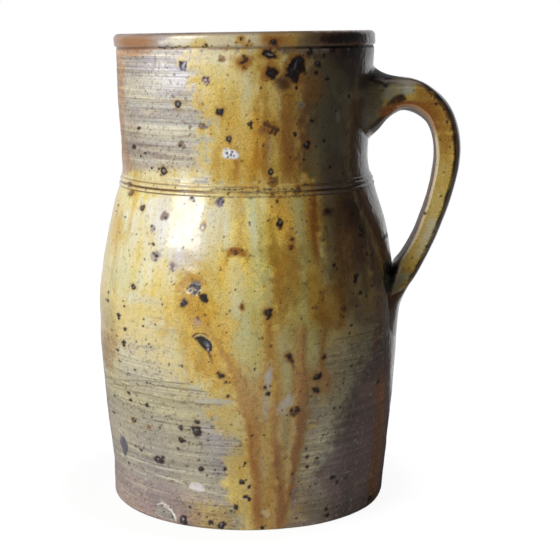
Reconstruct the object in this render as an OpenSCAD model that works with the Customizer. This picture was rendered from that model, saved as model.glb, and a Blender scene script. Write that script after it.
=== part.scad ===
// Stoneware jug: two thrown sections joined under a shoulder cordon, and a pulled strap handle.
// The origin is the middle of the foot, on the surface that it stands on. The handle points along +X.
// The neck is open to its full width, with no spout.

/* [Foot] */
// Radius of the wall where it rises from the rounded foot
foot_r = 74.3; // [70:0.1:77]
// Radius of the rounded edge under the foot
foot_edge_r = 1.5; // [1:0.5:4]
// Height of the line turned round the foot
foot_line_z = 21; // [14:0.5:30]
// Width of that line, which is a quarter as deep
foot_line_w = 1.6; // [0.8:0.1:2.4]
// Thickness of the floor
floor_t = 9; // [6:0.5:13]

/* [Lower section] */
// Height of the seam between the two thrown sections
seam_z = 172.4; // [164:0.1:180]
// Largest radius of the belly
belly_r = 81; // [78:0.1:86]
// Height of the largest radius
belly_z = 103; // [92:1:112]
// Radius of the shoulder at the seam
shoulder_r = 67.3; // [66.5:0.1:71]
// Thickness of the lower section's wall
body_wall = 6.5; // [5:0.1:9]

/* [Neck section] */
// Height of the neck section above the seam
neck_h = 77.6; // [72:0.1:92]
// Radius of the neck at its narrowest
waist_r = 65.8; // [63:0.1:67]
// Height of the narrowest place above the seam
waist_rise = 9.6; // [8:0.2:14]
// Radius of the neck just under the lip
neck_top_r = 68; // [66:0.1:70]
// Thickness of the neck's wall
neck_wall = 5.6; // [4.6:0.1:7.5]

/* [Lip] */
// Height of the lip's band
lip_h = 7.5; // [5:0.5:11]
// How far the lip stands out from the neck
lip_proud = 0.9; // [0.4:0.1:2]
// Radius of the lip's rounded edges
lip_edge_r = 2.4; // [1.2:0.1:2.7]
// Width and depth of the groove under the lip
lip_groove_w = 1.1; // [0.6:0.1:1.6]

/* [Seam and cordon] */
// Height of the cordon round the seam
cordon_h = 6; // [4:0.2:8]
// How far the cordon's two ridges stand out from the wall
cordon_proud = 0.9; // [0.4:0.1:1.6]
// Depth of the seat that the cordon is pressed into
cordon_seat = 1.2; // [0.8:0.1:1.6]
// Thickness of the neck's tongue
tongue_t = 1.8; // [1.2:0.1:2.2]
// Height of the neck's tongue, which sits in the lower section
tongue_h = 4; // [3:0.5:7]

/* [Handle strap] */
// Width of the strap
strap_w = 29; // [22:0.5:36]
// Thickness of the strap
strap_t = 14; // [10:0.5:17]
// Distance from the jug's axis to the middle of the strap where it stands furthest out
strap_reach = 106.7; // [100:0.1:116]
// How far under the root's middle it stands furthest out
strap_reach_drop = 27.2; // [22:0.1:34]

/* [Handle root] */
// How far the root's middle lies under the rim
root_drop = 35.5; // [33:0.5:40]
// How far the strap rises as it leaves the neck
root_lift = 6.5; // [3:0.5:9]
// How much thicker than the strap the root is at the neck
root_flare_t = 29; // [18:1:32]
// How much wider than the strap the root is at the neck
root_flare_w = 24; // [12:1:30]
// Distance over which the root narrows to the strap
root_fade = 5; // [4:0.5:7]

/* [Handle tail] */
// Height at which the strap meets the belly
tail_z = 118; // [112:0.5:124]
// Length of the tail that is smeared down the belly
tail_l = 32; // [24:1:40]
// Width of the tail at its broadest
tail_w = 40; // [33:0.5:48]
// Thickness that is left at the tail's tip
tail_tip_t = 5.6; // [4.5:0.1:7]

/* [Hidden] */

$fn = 160;
RIM_Z = seam_z + neck_h;
WAIST_Z = seam_z + waist_rise;
LIP_Z = RIM_Z - lip_h;
// The lip's rounded edges are limited by half the neck's wall
LIP_EDGE_SHARE = 0.49;
LIP_EDGE_R = min(lip_edge_r, neck_wall * LIP_EDGE_SHARE);
LIP_R = neck_top_r + lip_proud;
// Slopes of the wall, as outward travel for each unit of height
FOOT_SLOPE_SHARE = 0.085;
SHOULDER_SLOPE_SHARE = -0.325;
// Number of steps in one stretch of the wall's curve
WALL_STEPS = 14;
EDGE_STEPS = 6;
// Angle at which the round corner inside the floor starts
FLOOR_TURN = -15;

CORDON_LOW = seam_z - cordon_h / 2;
CORDON_HIGH = seam_z + cordon_h / 2;
CORDON_STEPS = 16;

// Colours of the fired ash glaze
OLIVE = [0.50, 0.42, 0.22];
OCHRE = [0.62, 0.48, 0.20];
STRAW = [0.70, 0.62, 0.40];

// Cubic between two stations [height, radius, slope], which is the wall's curve between them
function cubic(z, a, b) =
    let (l = b[0] - a[0], t = (z - a[0]) / l)
    a[1] * (2 * t ^ 3 - 3 * t ^ 2 + 1)
    + b[1] * (3 * t ^ 2 - 2 * t ^ 3)
    + a[2] * l * (t ^ 3 - 2 * t ^ 2 + t)
    + b[2] * l * (t ^ 3 - t ^ 2);

FOOT_AT = [foot_edge_r, foot_r, FOOT_SLOPE_SHARE];
BELLY_AT = [belly_z, belly_r, 0];
SEAM_AT = [seam_z, shoulder_r, SHOULDER_SLOPE_SHARE];
WAIST_AT = [WAIST_Z, waist_r, 0];
NECK_TOP_AT = [LIP_Z, neck_top_r, 0];

// Outer radius of the jug at a height, from the foot to the lip
function wall_r(z) =
    z < foot_edge_r ? foot_r
    : z < belly_z ? cubic(z, FOOT_AT, BELLY_AT)
    : z < seam_z ? cubic(z, BELLY_AT, SEAM_AT)
    : z < WAIST_Z ? cubic(z, SEAM_AT, WAIST_AT)
    : z < LIP_Z ? cubic(z, WAIST_AT, NECK_TOP_AT)
    : neck_top_r;

// Radius of the seat under the cordon, level all round
SEAT_R = wall_r(CORDON_HIGH) - cordon_seat;
// The lower section is level inside round the tongue, from a place as far below it as it is high
COLLAR_R = shoulder_r - body_wall;
COLLAR_Z = seam_z - tongue_h * 2;
// The tongue lies in the middle of the wall at the seam
TONGUE_OUT_R = (SEAT_R + COLLAR_R + tongue_t) / 2;
TONGUE_IN_R = TONGUE_OUT_R - tongue_t;

// Heights at which the wall is drawn between two heights
function heights(low, high, steps = WALL_STEPS) = [for (i = [0:steps]) low + (high - low) * i / steps];
function wall(low, high, in_by = 0) = [for (z = heights(low, high)) [wall_r(z) - in_by, z]];
function arc(x, z, r, from, to) =
    [for (i = [0:EDGE_STEPS]) let (a = from + (to - from) * i / EDGE_STEPS) [x + r * cos(a), z + r * sin(a)]];
function reversed(points) = [for (i = [len(points) - 1:-1:0]) points[i]];

// Outer wall of the lower section up to a height, with the rounded foot edge and the turned line
function lower_outline(top) = concat(
    arc(foot_r - foot_edge_r, foot_edge_r, foot_edge_r, -90, 0),
    [for (z = heights(foot_edge_r, foot_line_z - foot_line_w / 2)) if (z > foot_edge_r) [wall_r(z), z]],
    [[wall_r(foot_line_z) - foot_line_w / 4, foot_line_z]],
    wall(foot_line_z + foot_line_w / 2, belly_z),
    [for (z = heights(belly_z, top)) if (z > belly_z) [wall_r(z), z]]
);

module turned(outline) {
    rotate_extrude() polygon(outline);
}

module lower_body() {
    inside_r = foot_r - body_wall;
    color(OCHRE) turned(concat(
        [[0, 0]],
        lower_outline(CORDON_LOW),
        [[SEAT_R, CORDON_LOW], [SEAT_R, seam_z]],
        [[TONGUE_OUT_R, seam_z], [TONGUE_OUT_R, seam_z - tongue_h]],
        [[TONGUE_IN_R, seam_z - tongue_h], [TONGUE_IN_R, seam_z]],
        [[COLLAR_R, seam_z], [COLLAR_R, seam_z - tongue_h]],
        reversed(wall(belly_z, COLLAR_Z, body_wall)),
        reversed([for (z = heights(floor_t + body_wall, belly_z)) if (z < belly_z) [wall_r(z) - body_wall, z]]),
        arc(inside_r - body_wall, floor_t + body_wall, body_wall, FLOOR_TURN, -90),
        [[0, floor_t]]
    ));
}

// Outer wall of the neck section from a height up, with the groove under the lip and the lip's outer edge
function neck_outline(low) = concat(
    wall(low, WAIST_Z),
    [for (z = heights(WAIST_Z, LIP_Z - lip_groove_w)) if (z > WAIST_Z) [wall_r(z), z]],
    [[neck_top_r - lip_groove_w / 2, LIP_Z - lip_groove_w / 2]],
    [[LIP_R, LIP_Z]],
    arc(LIP_R - LIP_EDGE_R, RIM_Z - LIP_EDGE_R, LIP_EDGE_R, 0, 90)
);

module neck() {
    color(OLIVE) turned(concat(
        [[TONGUE_IN_R, seam_z], [TONGUE_IN_R, seam_z - tongue_h]],
        [[TONGUE_OUT_R, seam_z - tongue_h], [TONGUE_OUT_R, seam_z]],
        [[SEAT_R, seam_z], [SEAT_R, CORDON_HIGH]],
        neck_outline(CORDON_HIGH),
        arc(LIP_R - neck_wall + LIP_EDGE_R, RIM_Z - LIP_EDGE_R, LIP_EDGE_R, 90, 180),
        reversed(wall(WAIST_Z, LIP_Z, neck_wall)),
        [[COLLAR_R, seam_z]]
    ));
}

// Ring of clay over the seam, with two ridges and a groove between them
module shoulder_cordon() {
    color(STRAW) turned(concat(
        [[SEAT_R, CORDON_LOW]],
        [for (i = [0:CORDON_STEPS])
            let (z = CORDON_LOW + cordon_h * i / CORDON_STEPS, ridge = sqrt(abs(sin(360 * i / CORDON_STEPS))))
            [wall_r(z) + cordon_proud * ridge, z]],
        [[SEAT_R, CORDON_HIGH]]
    ));
}

// The handle's middle line lies in the XZ plane: a curve from the root to where it stands furthest out,
// a curve that falls to the belly, and the tail, which follows the belly's wall. Each control point is
// a share of the way between the places that it joins.
ROOT_PULL_SHARE = 0.67;
ROOT_TURN_SHARE = 0.9;
GRIP_FALL_SHARE = 0.32;
TAIL_LEAN_SHARE = 0.43;
TAIL_RISE_SHARE = 0.31;
// How far into the wall the root and the tip start, so that the wall cuts them
ROOT_BURY_SHARE = 0.3;
TIP_BURY_SHARE = 0.46;
// How far the strap's middle stands off the wall at the tail, as a share of its thickness
TAIL_STAND_SHARE = 0.24;
// Where the strap ends and the root and the tail begin, along their curves
ROOT_END_SHARE = 0.3;
TAIL_START_SHARE = 0.82;
// Thickness of the tail where the strap meets the belly
TAIL_THIN_SHARE = 0.86;
// Where the strap begins to broaden, how far it has by the belly, and where the tail is broadest
SPREAD_START_SHARE = 0.7;
SPREAD_SHARE = 0.45;
TAIL_BROAD_SHARE = 0.4;
// How much of its round end the tail's tip leaves out
TIP_CUT_SHARE = 0.9;
STRAP_STEPS = 14;
PAD_STEPS = 8;
RING = 28;
// Power of the strap's rounded section, and of the root's and the tip's rounder ones
SQUARE = 3.4;
ROUND = 2.2;

ROOT_Z = RIM_Z - root_drop;
GRIP_Z = ROOT_Z - strap_reach_drop;
ROOT_P = [wall_r(ROOT_Z) - strap_t * ROOT_BURY_SHARE, ROOT_Z];
GRIP_P = [strap_reach, GRIP_Z];
TAIL_STAND = strap_t * TAIL_STAND_SHARE;
TIP_STAND = -tail_tip_t * TIP_BURY_SHARE;
TAIL_P = [wall_r(tail_z) + TAIL_STAND, tail_z];
TAIL_LEAN = [(strap_reach - TAIL_P[0]) * TAIL_LEAN_SHARE, (GRIP_Z - tail_z) * TAIL_RISE_SHARE];

ROOT_CURVE = [
    ROOT_P,
    ROOT_P + [(strap_reach - ROOT_P[0]) * ROOT_PULL_SHARE, root_lift],
    [strap_reach, GRIP_Z + strap_reach_drop * ROOT_TURN_SHARE],
    GRIP_P
];
FALL_CURVE = [
    GRIP_P,
    [strap_reach, GRIP_Z - (GRIP_Z - tail_z) * GRIP_FALL_SHARE],
    TAIL_P + TAIL_LEAN,
    TAIL_P
];

function on_curve(c, t) =
    (1 - t) ^ 3 * c[0] + 3 * t * (1 - t) ^ 2 * c[1] + 3 * t ^ 2 * (1 - t) * c[2] + t ^ 3 * c[3];
function along_curve(c, t) =
    (1 - t) ^ 2 * (c[1] - c[0]) + 2 * t * (1 - t) * (c[2] - c[1]) + t ^ 2 * (c[3] - c[2]);

// Middle line of the tail: it leaves the fall's end in the same direction, then keeps close to the wall
TAIL_STEP = tail_l / PAD_STEPS;
TAIL_WALL_SLOPE = (wall_r(tail_z + TAIL_STEP) - wall_r(tail_z - TAIL_STEP)) / (2 * TAIL_STEP);
TAIL_TURN = -tail_l * (TAIL_LEAN[0] / TAIL_LEAN[1] - TAIL_WALL_SLOPE);
function tail_at(t) =
    [wall_r(tail_z - tail_l * t) + cubic(t, [0, TAIL_STAND, TAIL_TURN], [1, TIP_STAND, 0]), tail_z - tail_l * t];
function along_tail(t) = tail_at(t + 1 / PAD_STEPS) - tail_at(t - 1 / PAD_STEPS);

// How much of the root's flare is left at a distance from the neck's wall
function flare(x) = exp(-max(x - wall_r(ROOT_Z), 0) / root_fade);
function blend(a, b, t) = a + (b - a) * (3 * t ^ 2 - 2 * t ^ 3);

// Width along the fall, which begins to broaden above the belly
BELLY_W = strap_w + (tail_w - strap_w) * SPREAD_SHARE;
function fall_width(t) = blend(strap_w, BELLY_W, max(t - SPREAD_START_SHARE, 0) / (1 - SPREAD_START_SHARE));

// Width of the tail below the place where the strap meets the belly, which ends in a round tip
function tail_width(t) =
    t < TAIL_BROAD_SHARE
    ? BELLY_W + (tail_w - BELLY_W) * sin(90 * t / TAIL_BROAD_SHARE)
    : tail_w * sqrt(1 - (TIP_CUT_SHARE * (t - TAIL_BROAD_SHARE) / (1 - TAIL_BROAD_SHARE)) ^ 2);

// Each station is [place, direction, width, thickness, power of the section]
function root_station(t) =
    let (p = on_curve(ROOT_CURVE, t), k = flare(p[0]))
    [p, along_curve(ROOT_CURVE, t), strap_w + root_flare_w * k, strap_t + root_flare_t * k,
        SQUARE + (ROUND - SQUARE) * k];
function fall_station(t) =
    [on_curve(FALL_CURVE, t), along_curve(FALL_CURVE, t), fall_width(t),
        strap_t * blend(1, TAIL_THIN_SHARE, t), SQUARE];
function tail_station(t) =
    [tail_at(t), along_tail(t), tail_width(t),
        blend(strap_t * TAIL_THIN_SHARE, tail_tip_t, t), blend(SQUARE, ROUND, t)];

// Rounded section of the strap, set square to its direction
function section(s) =
    let (d = s[1] / norm(s[1]))
    [for (i = [0:RING - 1])
        let (a = 360 * i / RING,
            v = s[2] / 2 * sign(cos(a)) * abs(cos(a)) ^ (2 / s[4]),
            u = s[3] / 2 * sign(sin(a)) * abs(sin(a)) ^ (2 / s[4]))
        [s[0][0] - d[1] * u, v, s[0][1] + d[0] * u]];

// Closed solid through a list of stations
module swept(stations) {
    rings = len(stations);
    points = [for (s = stations) each section(s)];
    sides = [for (r = [0:rings - 2]) for (i = [0:RING - 1])
        let (j = (i + 1) % RING, a = r * RING, b = a + RING)
        each [[a + i, a + j, b + j], [a + i, b + j, b + i]]];
    start = [[for (i = [RING - 1:-1:0]) i]];
    end = [[for (i = [0:RING - 1]) (rings - 1) * RING + i]];
    polyhedron(points, concat(sides, start, end));
}

function steps(from, to, count) = [for (i = [0:count]) from + (to - from) * i / count];

// Everything inside the jug's outer wall, which the handle's ends are cut by
module inside_of_wall() {
    turned(concat(lower_outline(seam_z), neck_outline(seam_z), [[0, RIM_Z], [0, 0]]));
}

module handle_root() {
    color(OLIVE) difference() {
        swept([for (t = steps(0, ROOT_END_SHARE, PAD_STEPS)) root_station(t)]);
        inside_of_wall();
    }
}

module handle_strap() {
    color(OCHRE) swept(concat(
        [for (t = steps(ROOT_END_SHARE, 1, STRAP_STEPS)) root_station(t)],
        [for (t = steps(0, TAIL_START_SHARE, STRAP_STEPS)) if (t > 0) fall_station(t)]
    ));
}

module handle_tail() {
    color(OCHRE) difference() {
        swept(concat(
            [for (t = steps(TAIL_START_SHARE, 1, PAD_STEPS)) fall_station(t)],
            [for (t = steps(0, 1, PAD_STEPS)) if (t > 0) tail_station(t)]
        ));
        inside_of_wall();
    }
}

lower_body();
neck();
shoulder_cordon();
handle_root();
handle_strap();
handle_tail();
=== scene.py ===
import math

import bpy
import numpy as np
from mathutils import Matrix


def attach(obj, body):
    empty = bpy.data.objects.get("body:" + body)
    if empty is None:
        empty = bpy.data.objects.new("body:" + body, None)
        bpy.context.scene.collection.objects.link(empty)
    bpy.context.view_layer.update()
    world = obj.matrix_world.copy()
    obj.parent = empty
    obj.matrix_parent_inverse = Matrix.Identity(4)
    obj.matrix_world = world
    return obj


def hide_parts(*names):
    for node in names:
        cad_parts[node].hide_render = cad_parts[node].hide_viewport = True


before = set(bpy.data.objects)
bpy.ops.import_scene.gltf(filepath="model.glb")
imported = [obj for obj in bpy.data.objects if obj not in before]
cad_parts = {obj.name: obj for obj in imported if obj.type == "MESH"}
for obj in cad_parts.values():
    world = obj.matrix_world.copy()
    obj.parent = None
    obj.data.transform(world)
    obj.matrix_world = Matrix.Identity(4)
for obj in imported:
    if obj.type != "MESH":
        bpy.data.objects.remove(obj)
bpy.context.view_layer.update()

# Lengths are millimetres and angles are degrees round the axis from -Y towards the handle at +X (90).
MM = 0.001

# The camera, as fitted to the photograph
FRAME_PX = 560
FOCAL_PX = 1329.9
VIEW_SIDE = 5.0
CAMERA_FAR = 715.2
CAMERA_HIGH = 247.7
CAMERA_DOWN = 10.45
CAMERA_RIGHT = 1.43
AXIS_PX = 246.0


def on_side(side, far, high):
    """The point at that side of the axis, far from it and that high."""
    a = math.radians(side)
    return np.array([far * math.sin(a), -far * math.cos(a), high])


EYE = on_side(VIEW_SIDE, CAMERA_FAR, CAMERA_HIGH)
AWAY = -on_side(VIEW_SIDE, 1, 0)
VIEW, HEADING, PITCH = (math.radians(a) for a in (VIEW_SIDE, CAMERA_RIGHT - VIEW_SIDE, CAMERA_DOWN))
RIGHT = np.array([math.cos(HEADING), -math.sin(HEADING), 0.0])
LEVEL = np.array([math.sin(HEADING), math.cos(HEADING), 0.0])
FORWARD = LEVEL * math.cos(PITCH) - np.array([0, 0, math.sin(PITCH)])
UP = np.cross(RIGHT, FORWARD)

# The wall's profile: stations (height, radius, slope) as in the solids
STATIONS = [(1.5, 74.3, 0.085), (103, 81, 0), (172.4, 67.3, -0.325), (182, 65.8, 0), (242.5, 68, 0)]
# How far the thrown wall departs from it, by height
HAND = [(0, 0), (6, -0.15), (20, -0.5), (30, -0.55), (46, -0.4), (62, -0.35), (84, -0.15), (100, -0.55),
        (114, -0.75), (126, -1.05), (136, -0.95), (148, -0.5), (156, -0.35), (170, -0.35), (188, -0.25),
        (198, 0), (206, 0.1), (214, 0.05), (226, -0.1), (238, -0.05), (250, -0.1)]
# How far the axis wanders to the camera's right, by height
LEAN = [(0, 0.2), (8, 0.5), (20, 0.95), (50, 0.75), (90, 0.65), (110, 0.45), (128, 0.45), (150, 0.5),
        (168, 0.2), (185, -0.9), (210, -0.9), (228, -0.7), (240, -0.4), (246, -0.9), (250, -1.0)]
FOOT_EDGE = 1.5
FLOOR_Z = 9.0
BODY_WALL = 6.5
SEAM_Z = 172.4
CORDON_LOW, CORDON_HIGH = 169.4, 175.6
NECK_WALL = 5.6
LIP_Z = 242.5
LIP_PROUD = 0.9
LIP_EDGE = 2.8
TOP_Z = 250.0
NEAR_SIDE = -14.5
# Distances round the wall are taken at one radius for all heights
UNROLLED_R = 75


def smooth(t):
    """From 0 to 1 with level ends."""
    return t * t * (3 - 2 * t)


def ramp(x, low, high):
    """0 below low, 1 above high, smooth between; low may be the larger."""
    return smooth(np.clip((x - low) / (high - low), 0, 1))


def between(x, low, full, still, high):
    """1 from full to still, and fading to 0 at low and high."""
    return ramp(x, low, full) * ramp(x, high, still)


def stripe(x, middle, half, core):
    """1 within the core of a middle, fading to 0 at half the width."""
    return ramp(np.abs(x - middle), half, core)


def eased(x, table):
    """The table's value at x, smooth between its stops."""
    xs, ys = np.array(table, float).T
    i = np.clip(np.searchsorted(xs, x) - 1, 0, len(xs) - 2)
    t = np.clip((x - xs[i]) / (xs[i + 1] - xs[i]), 0, 1)
    return ys[i] + (ys[i + 1] - ys[i]) * smooth(t)


def wall_r(z):
    """The wall's radius at a height: cubic curves between the stations, and the hand's departure."""
    z = np.asarray(z, float)
    r = np.where(z < STATIONS[0][0], STATIONS[0][1], STATIONS[-1][1])
    for (za, ra, sa), (zb, rb, sb) in zip(STATIONS[:-1], STATIONS[1:]):
        d = zb - za
        t = (z - za) / d
        v = (ra * (2 * t**3 - 3 * t**2 + 1) + rb * (3 * t**2 - 2 * t**3)
             + sa * d * (t**3 - 2 * t**2 + t) + sb * d * (t**3 - t**2))
        r = np.where((z >= za) & (z < zb), v, r)
    return r + eased(z, HAND)


def noise(side, z, wide, tall, seed, layers=1):
    """Smooth noise on the wall, about -1 to 1, in cells about wide by tall millimetres."""
    rows, start, stretch = 97, 40, 1.4
    out, size, total = 0.0, 1.0, 0.0
    for k in range(layers):
        around = max(3, int(round(2 * math.pi * UNROLLED_R / wide)))
        table = np.random.default_rng(seed * 31 + k).uniform(-1, 1, (rows, around))
        u, v = np.asarray(side) / 360 * around, np.asarray(z) / tall + start
        i, j = np.floor(u).astype(int), np.floor(v).astype(int)
        fu, fv = smooth(u - i), smooth(v - j)
        i0, i1, j0, j1 = i % around, (i + 1) % around, j % rows, (j + 1) % rows
        out = out + size * ((table[j0, i0] * (1 - fu) + table[j0, i1] * fu) * (1 - fv)
                            + (table[j1, i0] * (1 - fu) + table[j1, i1] * fu) * fv)
        total += size
        wide, tall, size = wide / 2, tall / 2, size / 2
    return out / total * stretch


def wrap(side):
    """The same side, between -180 and 180."""
    return (np.asarray(side) + 180) % 360 - 180


def from_view(side):
    """How far a side is turned from the middle of the view."""
    return np.abs(wrap(side - VIEW_SIDE))


def rays(px, py):
    """The camera's rays through the photograph's pixels."""
    px, py = np.asarray(px, float), np.asarray(py, float)
    return (FORWARD + RIGHT * ((px - FRAME_PX / 2) / FOCAL_PX)[..., None]
            - UP * ((py - FRAME_PX / 2) / FOCAL_PX)[..., None])


def on_wall(px, py):
    """Where the photograph's pixels lie on the wall, or past its edge: (side, height)."""
    ray = rays(px, py)
    z = np.full(ray.shape[:-1], 120.0)
    for _ in range(14):
        lean = eased(z, LEAN)
        ox, oy = EYE[0] - lean * math.cos(VIEW), EYE[1] - lean * math.sin(VIEW)
        a = ray[..., 0]**2 + ray[..., 1]**2
        b = ox * ray[..., 0] + oy * ray[..., 1]
        c = ox**2 + oy**2 - wall_r(z)**2
        t = (-b - np.sqrt(np.maximum(b * b - a * c, 0))) / a
        z = EYE[2] + t * ray[..., 2]
    past = np.degrees(np.sqrt(np.maximum(a * c - b * b, 0) / a) / wall_r(z)) * np.sign(px - AXIS_PX)
    return np.degrees(np.arctan2(ox + t * ray[..., 0], -oy - t * ray[..., 1])) + past, z


# The shape of the surface
LINES_CLIMB = 3
FOOT_SWELL, SWELL_SIDE = 1.2, 48


def rise(side, z):
    """The height by the throwing lines, which climb and fall a little on their way round."""
    return z + LINES_CLIMB * np.sin(np.radians(side))


def relief(side, z):
    """The hand-thrown surface's height over the smooth wall."""
    rings = 0.13 * noise(side, rise(side, z), 260, 12, 3) + 0.05 * noise(side, rise(side, z), 120, 5.5, 4)
    dents = 0.03 * noise(side, z, 9, 8, 6, 2) + 0.12 * noise(side, z, 150, 60, 7)
    swell = FOOT_SWELL * ramp(z, 9, 1) * ramp(np.abs(wrap(side - SWELL_SIDE)), 36, 12)
    return rings + dents + swell


def finger_lines(side, z):
    """The fine throwing lines, which thick glaze fills."""
    return 0.07 * noise(side, rise(side, z), 120, 3.2, 14) + 0.05 * noise(side, rise(side, z), 90, 1.6, 5)


def surface(side, z, r):
    """Points at radius r of the leaning jug."""
    a, lean = np.radians(side), eased(z, LEAN)
    return np.stack([r * np.sin(a) + lean * math.cos(VIEW), -r * np.cos(a) + lean * math.sin(VIEW), z], -1)


def rim_lift(side):
    """The rim isn't quite level."""
    return 1.0 * np.sin(np.radians(side - VIEW_SIDE)) - 0.85


def columns(fine, coarse):
    """Sides of the mesh's columns, in degrees, closer together on the front."""
    s = np.linspace(-180, 180, 7201)
    front_fades, front_ends = 85, 115
    gap = coarse + (fine - coarse) * ramp(from_view(s), front_ends, front_fades)
    total = np.concatenate([[0], np.cumsum(np.diff(s) / gap[:-1])])
    return np.interp(np.arange(int(total[-1])) / int(total[-1]) * total[-1], total, s)


FINE, COARSE = 0.44, 0.80
SIDES = columns(FINE, COARSE)


def lengths(points):
    """How far along a line each of its points lies."""
    return np.concatenate([[0], np.cumsum(np.linalg.norm(np.diff(points, axis=0), axis=1))])


def resampled(t, s, rows):
    """The rows that lie at the lengths s, interpolated at the lengths t."""
    return np.stack([np.interp(t, s, column) for column in rows.T], -1)


def spaced(points, gap):
    """Points along a line, a gap apart."""
    p = np.array(points, float)
    s = lengths(p)
    return resampled(np.linspace(0, s[-1], max(1, int(round(s[-1] / gap))) + 1), s, p)


def arc(r, z, radius, start, end):
    """Points of an arc about (r, z), from one angle to another."""
    a = np.radians(np.linspace(start, end, 7))
    return [(r + radius * math.cos(x), z + radius * math.sin(x)) for x in a]


# Glaze colours, as they look in even light
def srgb(*c):
    """A colour from its red, green and blue out of 255."""
    return np.array(c, float) / 255


STRAW = srgb(222, 201, 126)
PALE = srgb(228, 218, 178)
HONEY = srgb(211, 177, 84)
AMBER = srgb(186, 138, 54)
RUST = srgb(150, 96, 40)
BROWN = srgb(98, 64, 38)
INK = srgb(30, 22, 20)
CELADON = srgb(204, 202, 156)
MIST = srgb(190, 187, 178)
STONE = srgb(184, 176, 158)
KHAKI = srgb(190, 180, 142)
MAUVE = srgb(170, 158, 154)
PLUM = srgb(126, 106, 102)
ORANGE = srgb(188, 138, 98)
CARAMEL = srgb(190, 150, 88)
OLIVE = srgb(124, 110, 76)
SMOKE = srgb(96, 82, 66)
PINK = srgb(178, 146, 138)
WHITE = srgb(240, 238, 234)
MILK = srgb(228, 224, 208)
CREAM = srgb(214, 206, 178)
BLOOM = srgb(176, 170, 140)
EMBER = srgb(170, 98, 48)
CLAY_BROWN = srgb(132, 92, 64)
MAROON = srgb(56, 28, 20)
ASH_GREY = srgb(92, 88, 92)
SLATE = srgb(84, 82, 104)
STEEL = srgb(92, 94, 110)
# Colour of a painted highlight (glint) in the craters
HIGHLIGHT_PEARL = srgb(190, 190, 200)
LILAC = srgb(176, 150, 160)
SCRATCH = srgb(240, 234, 212)
# Grey of the painted reflection along the handle's outer edges
EDGE_REFLECTION_GREY = srgb(128, 116, 114)


# The light falls off to the right: (column of pixels, how much brighter the glaze is than it looks there)
SHADE = [(170, 1.0), (250, 1.0), (275, 1.05), (300, 1.14), (330, 1.3), (370, 1.4)]


def seen(x, *c):
    """The glaze that looks like c in the photograph's light, at column x."""
    return np.clip(srgb(*c) * np.interp(x, *np.array(SHADE).T), 0, 1)


def linear(c):
    """The colour in the shader's linear light."""
    return np.where(c <= 0.04045, c / 12.92, ((c + 0.055) / 1.055)**2.4)


CLAY_WET = 0.55
# How far round the wall from the middle of the view the front's glazes have faded out
FRONT_END = 150
# A pixel's height on the wall
PIXEL_MM = 0.53
# How far past its top and past its foot a run fades out
ENDS = (4.0, 5.0)


def along(side):
    """Distance round the wall from the middle of the view, at one radius for all heights."""
    return wrap(np.asarray(side) - VIEW_SIDE) * math.pi / 180 * UNROLLED_R


def rounded(p):
    """A closed outline with its corners cut twice."""
    for _ in range(2):
        q = np.roll(p, -1, 0)
        p = np.stack([p * 0.75 + q * 0.25, p * 0.25 + q * 0.75], 1).reshape(-1, 2)
    return p


def inside_by(x, y, p):
    """How far each point lies inside a closed outline, negative outside."""
    d = np.full(len(x), 1e9)
    odd = np.zeros(len(x), bool)
    for (ax, ay), (bx, by) in zip(p, np.roll(p, -1, 0)):
        ex, ey = bx - ax, by - ay
        t = np.clip(((x - ax) * ex + (y - ay) * ey) / max(ex * ex + ey * ey, 1e-9), 0, 1)
        d = np.minimum(d, (x - ax - t * ex)**2 + (y - ay - t * ey)**2)
        odd ^= ((ay > y) != (by > y)) & (x < ex * (y - ay) / (ey if abs(ey) > 1e-9 else 1e-9) + ax)
    return np.where(odd, 1, -1) * np.sqrt(d)


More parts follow.
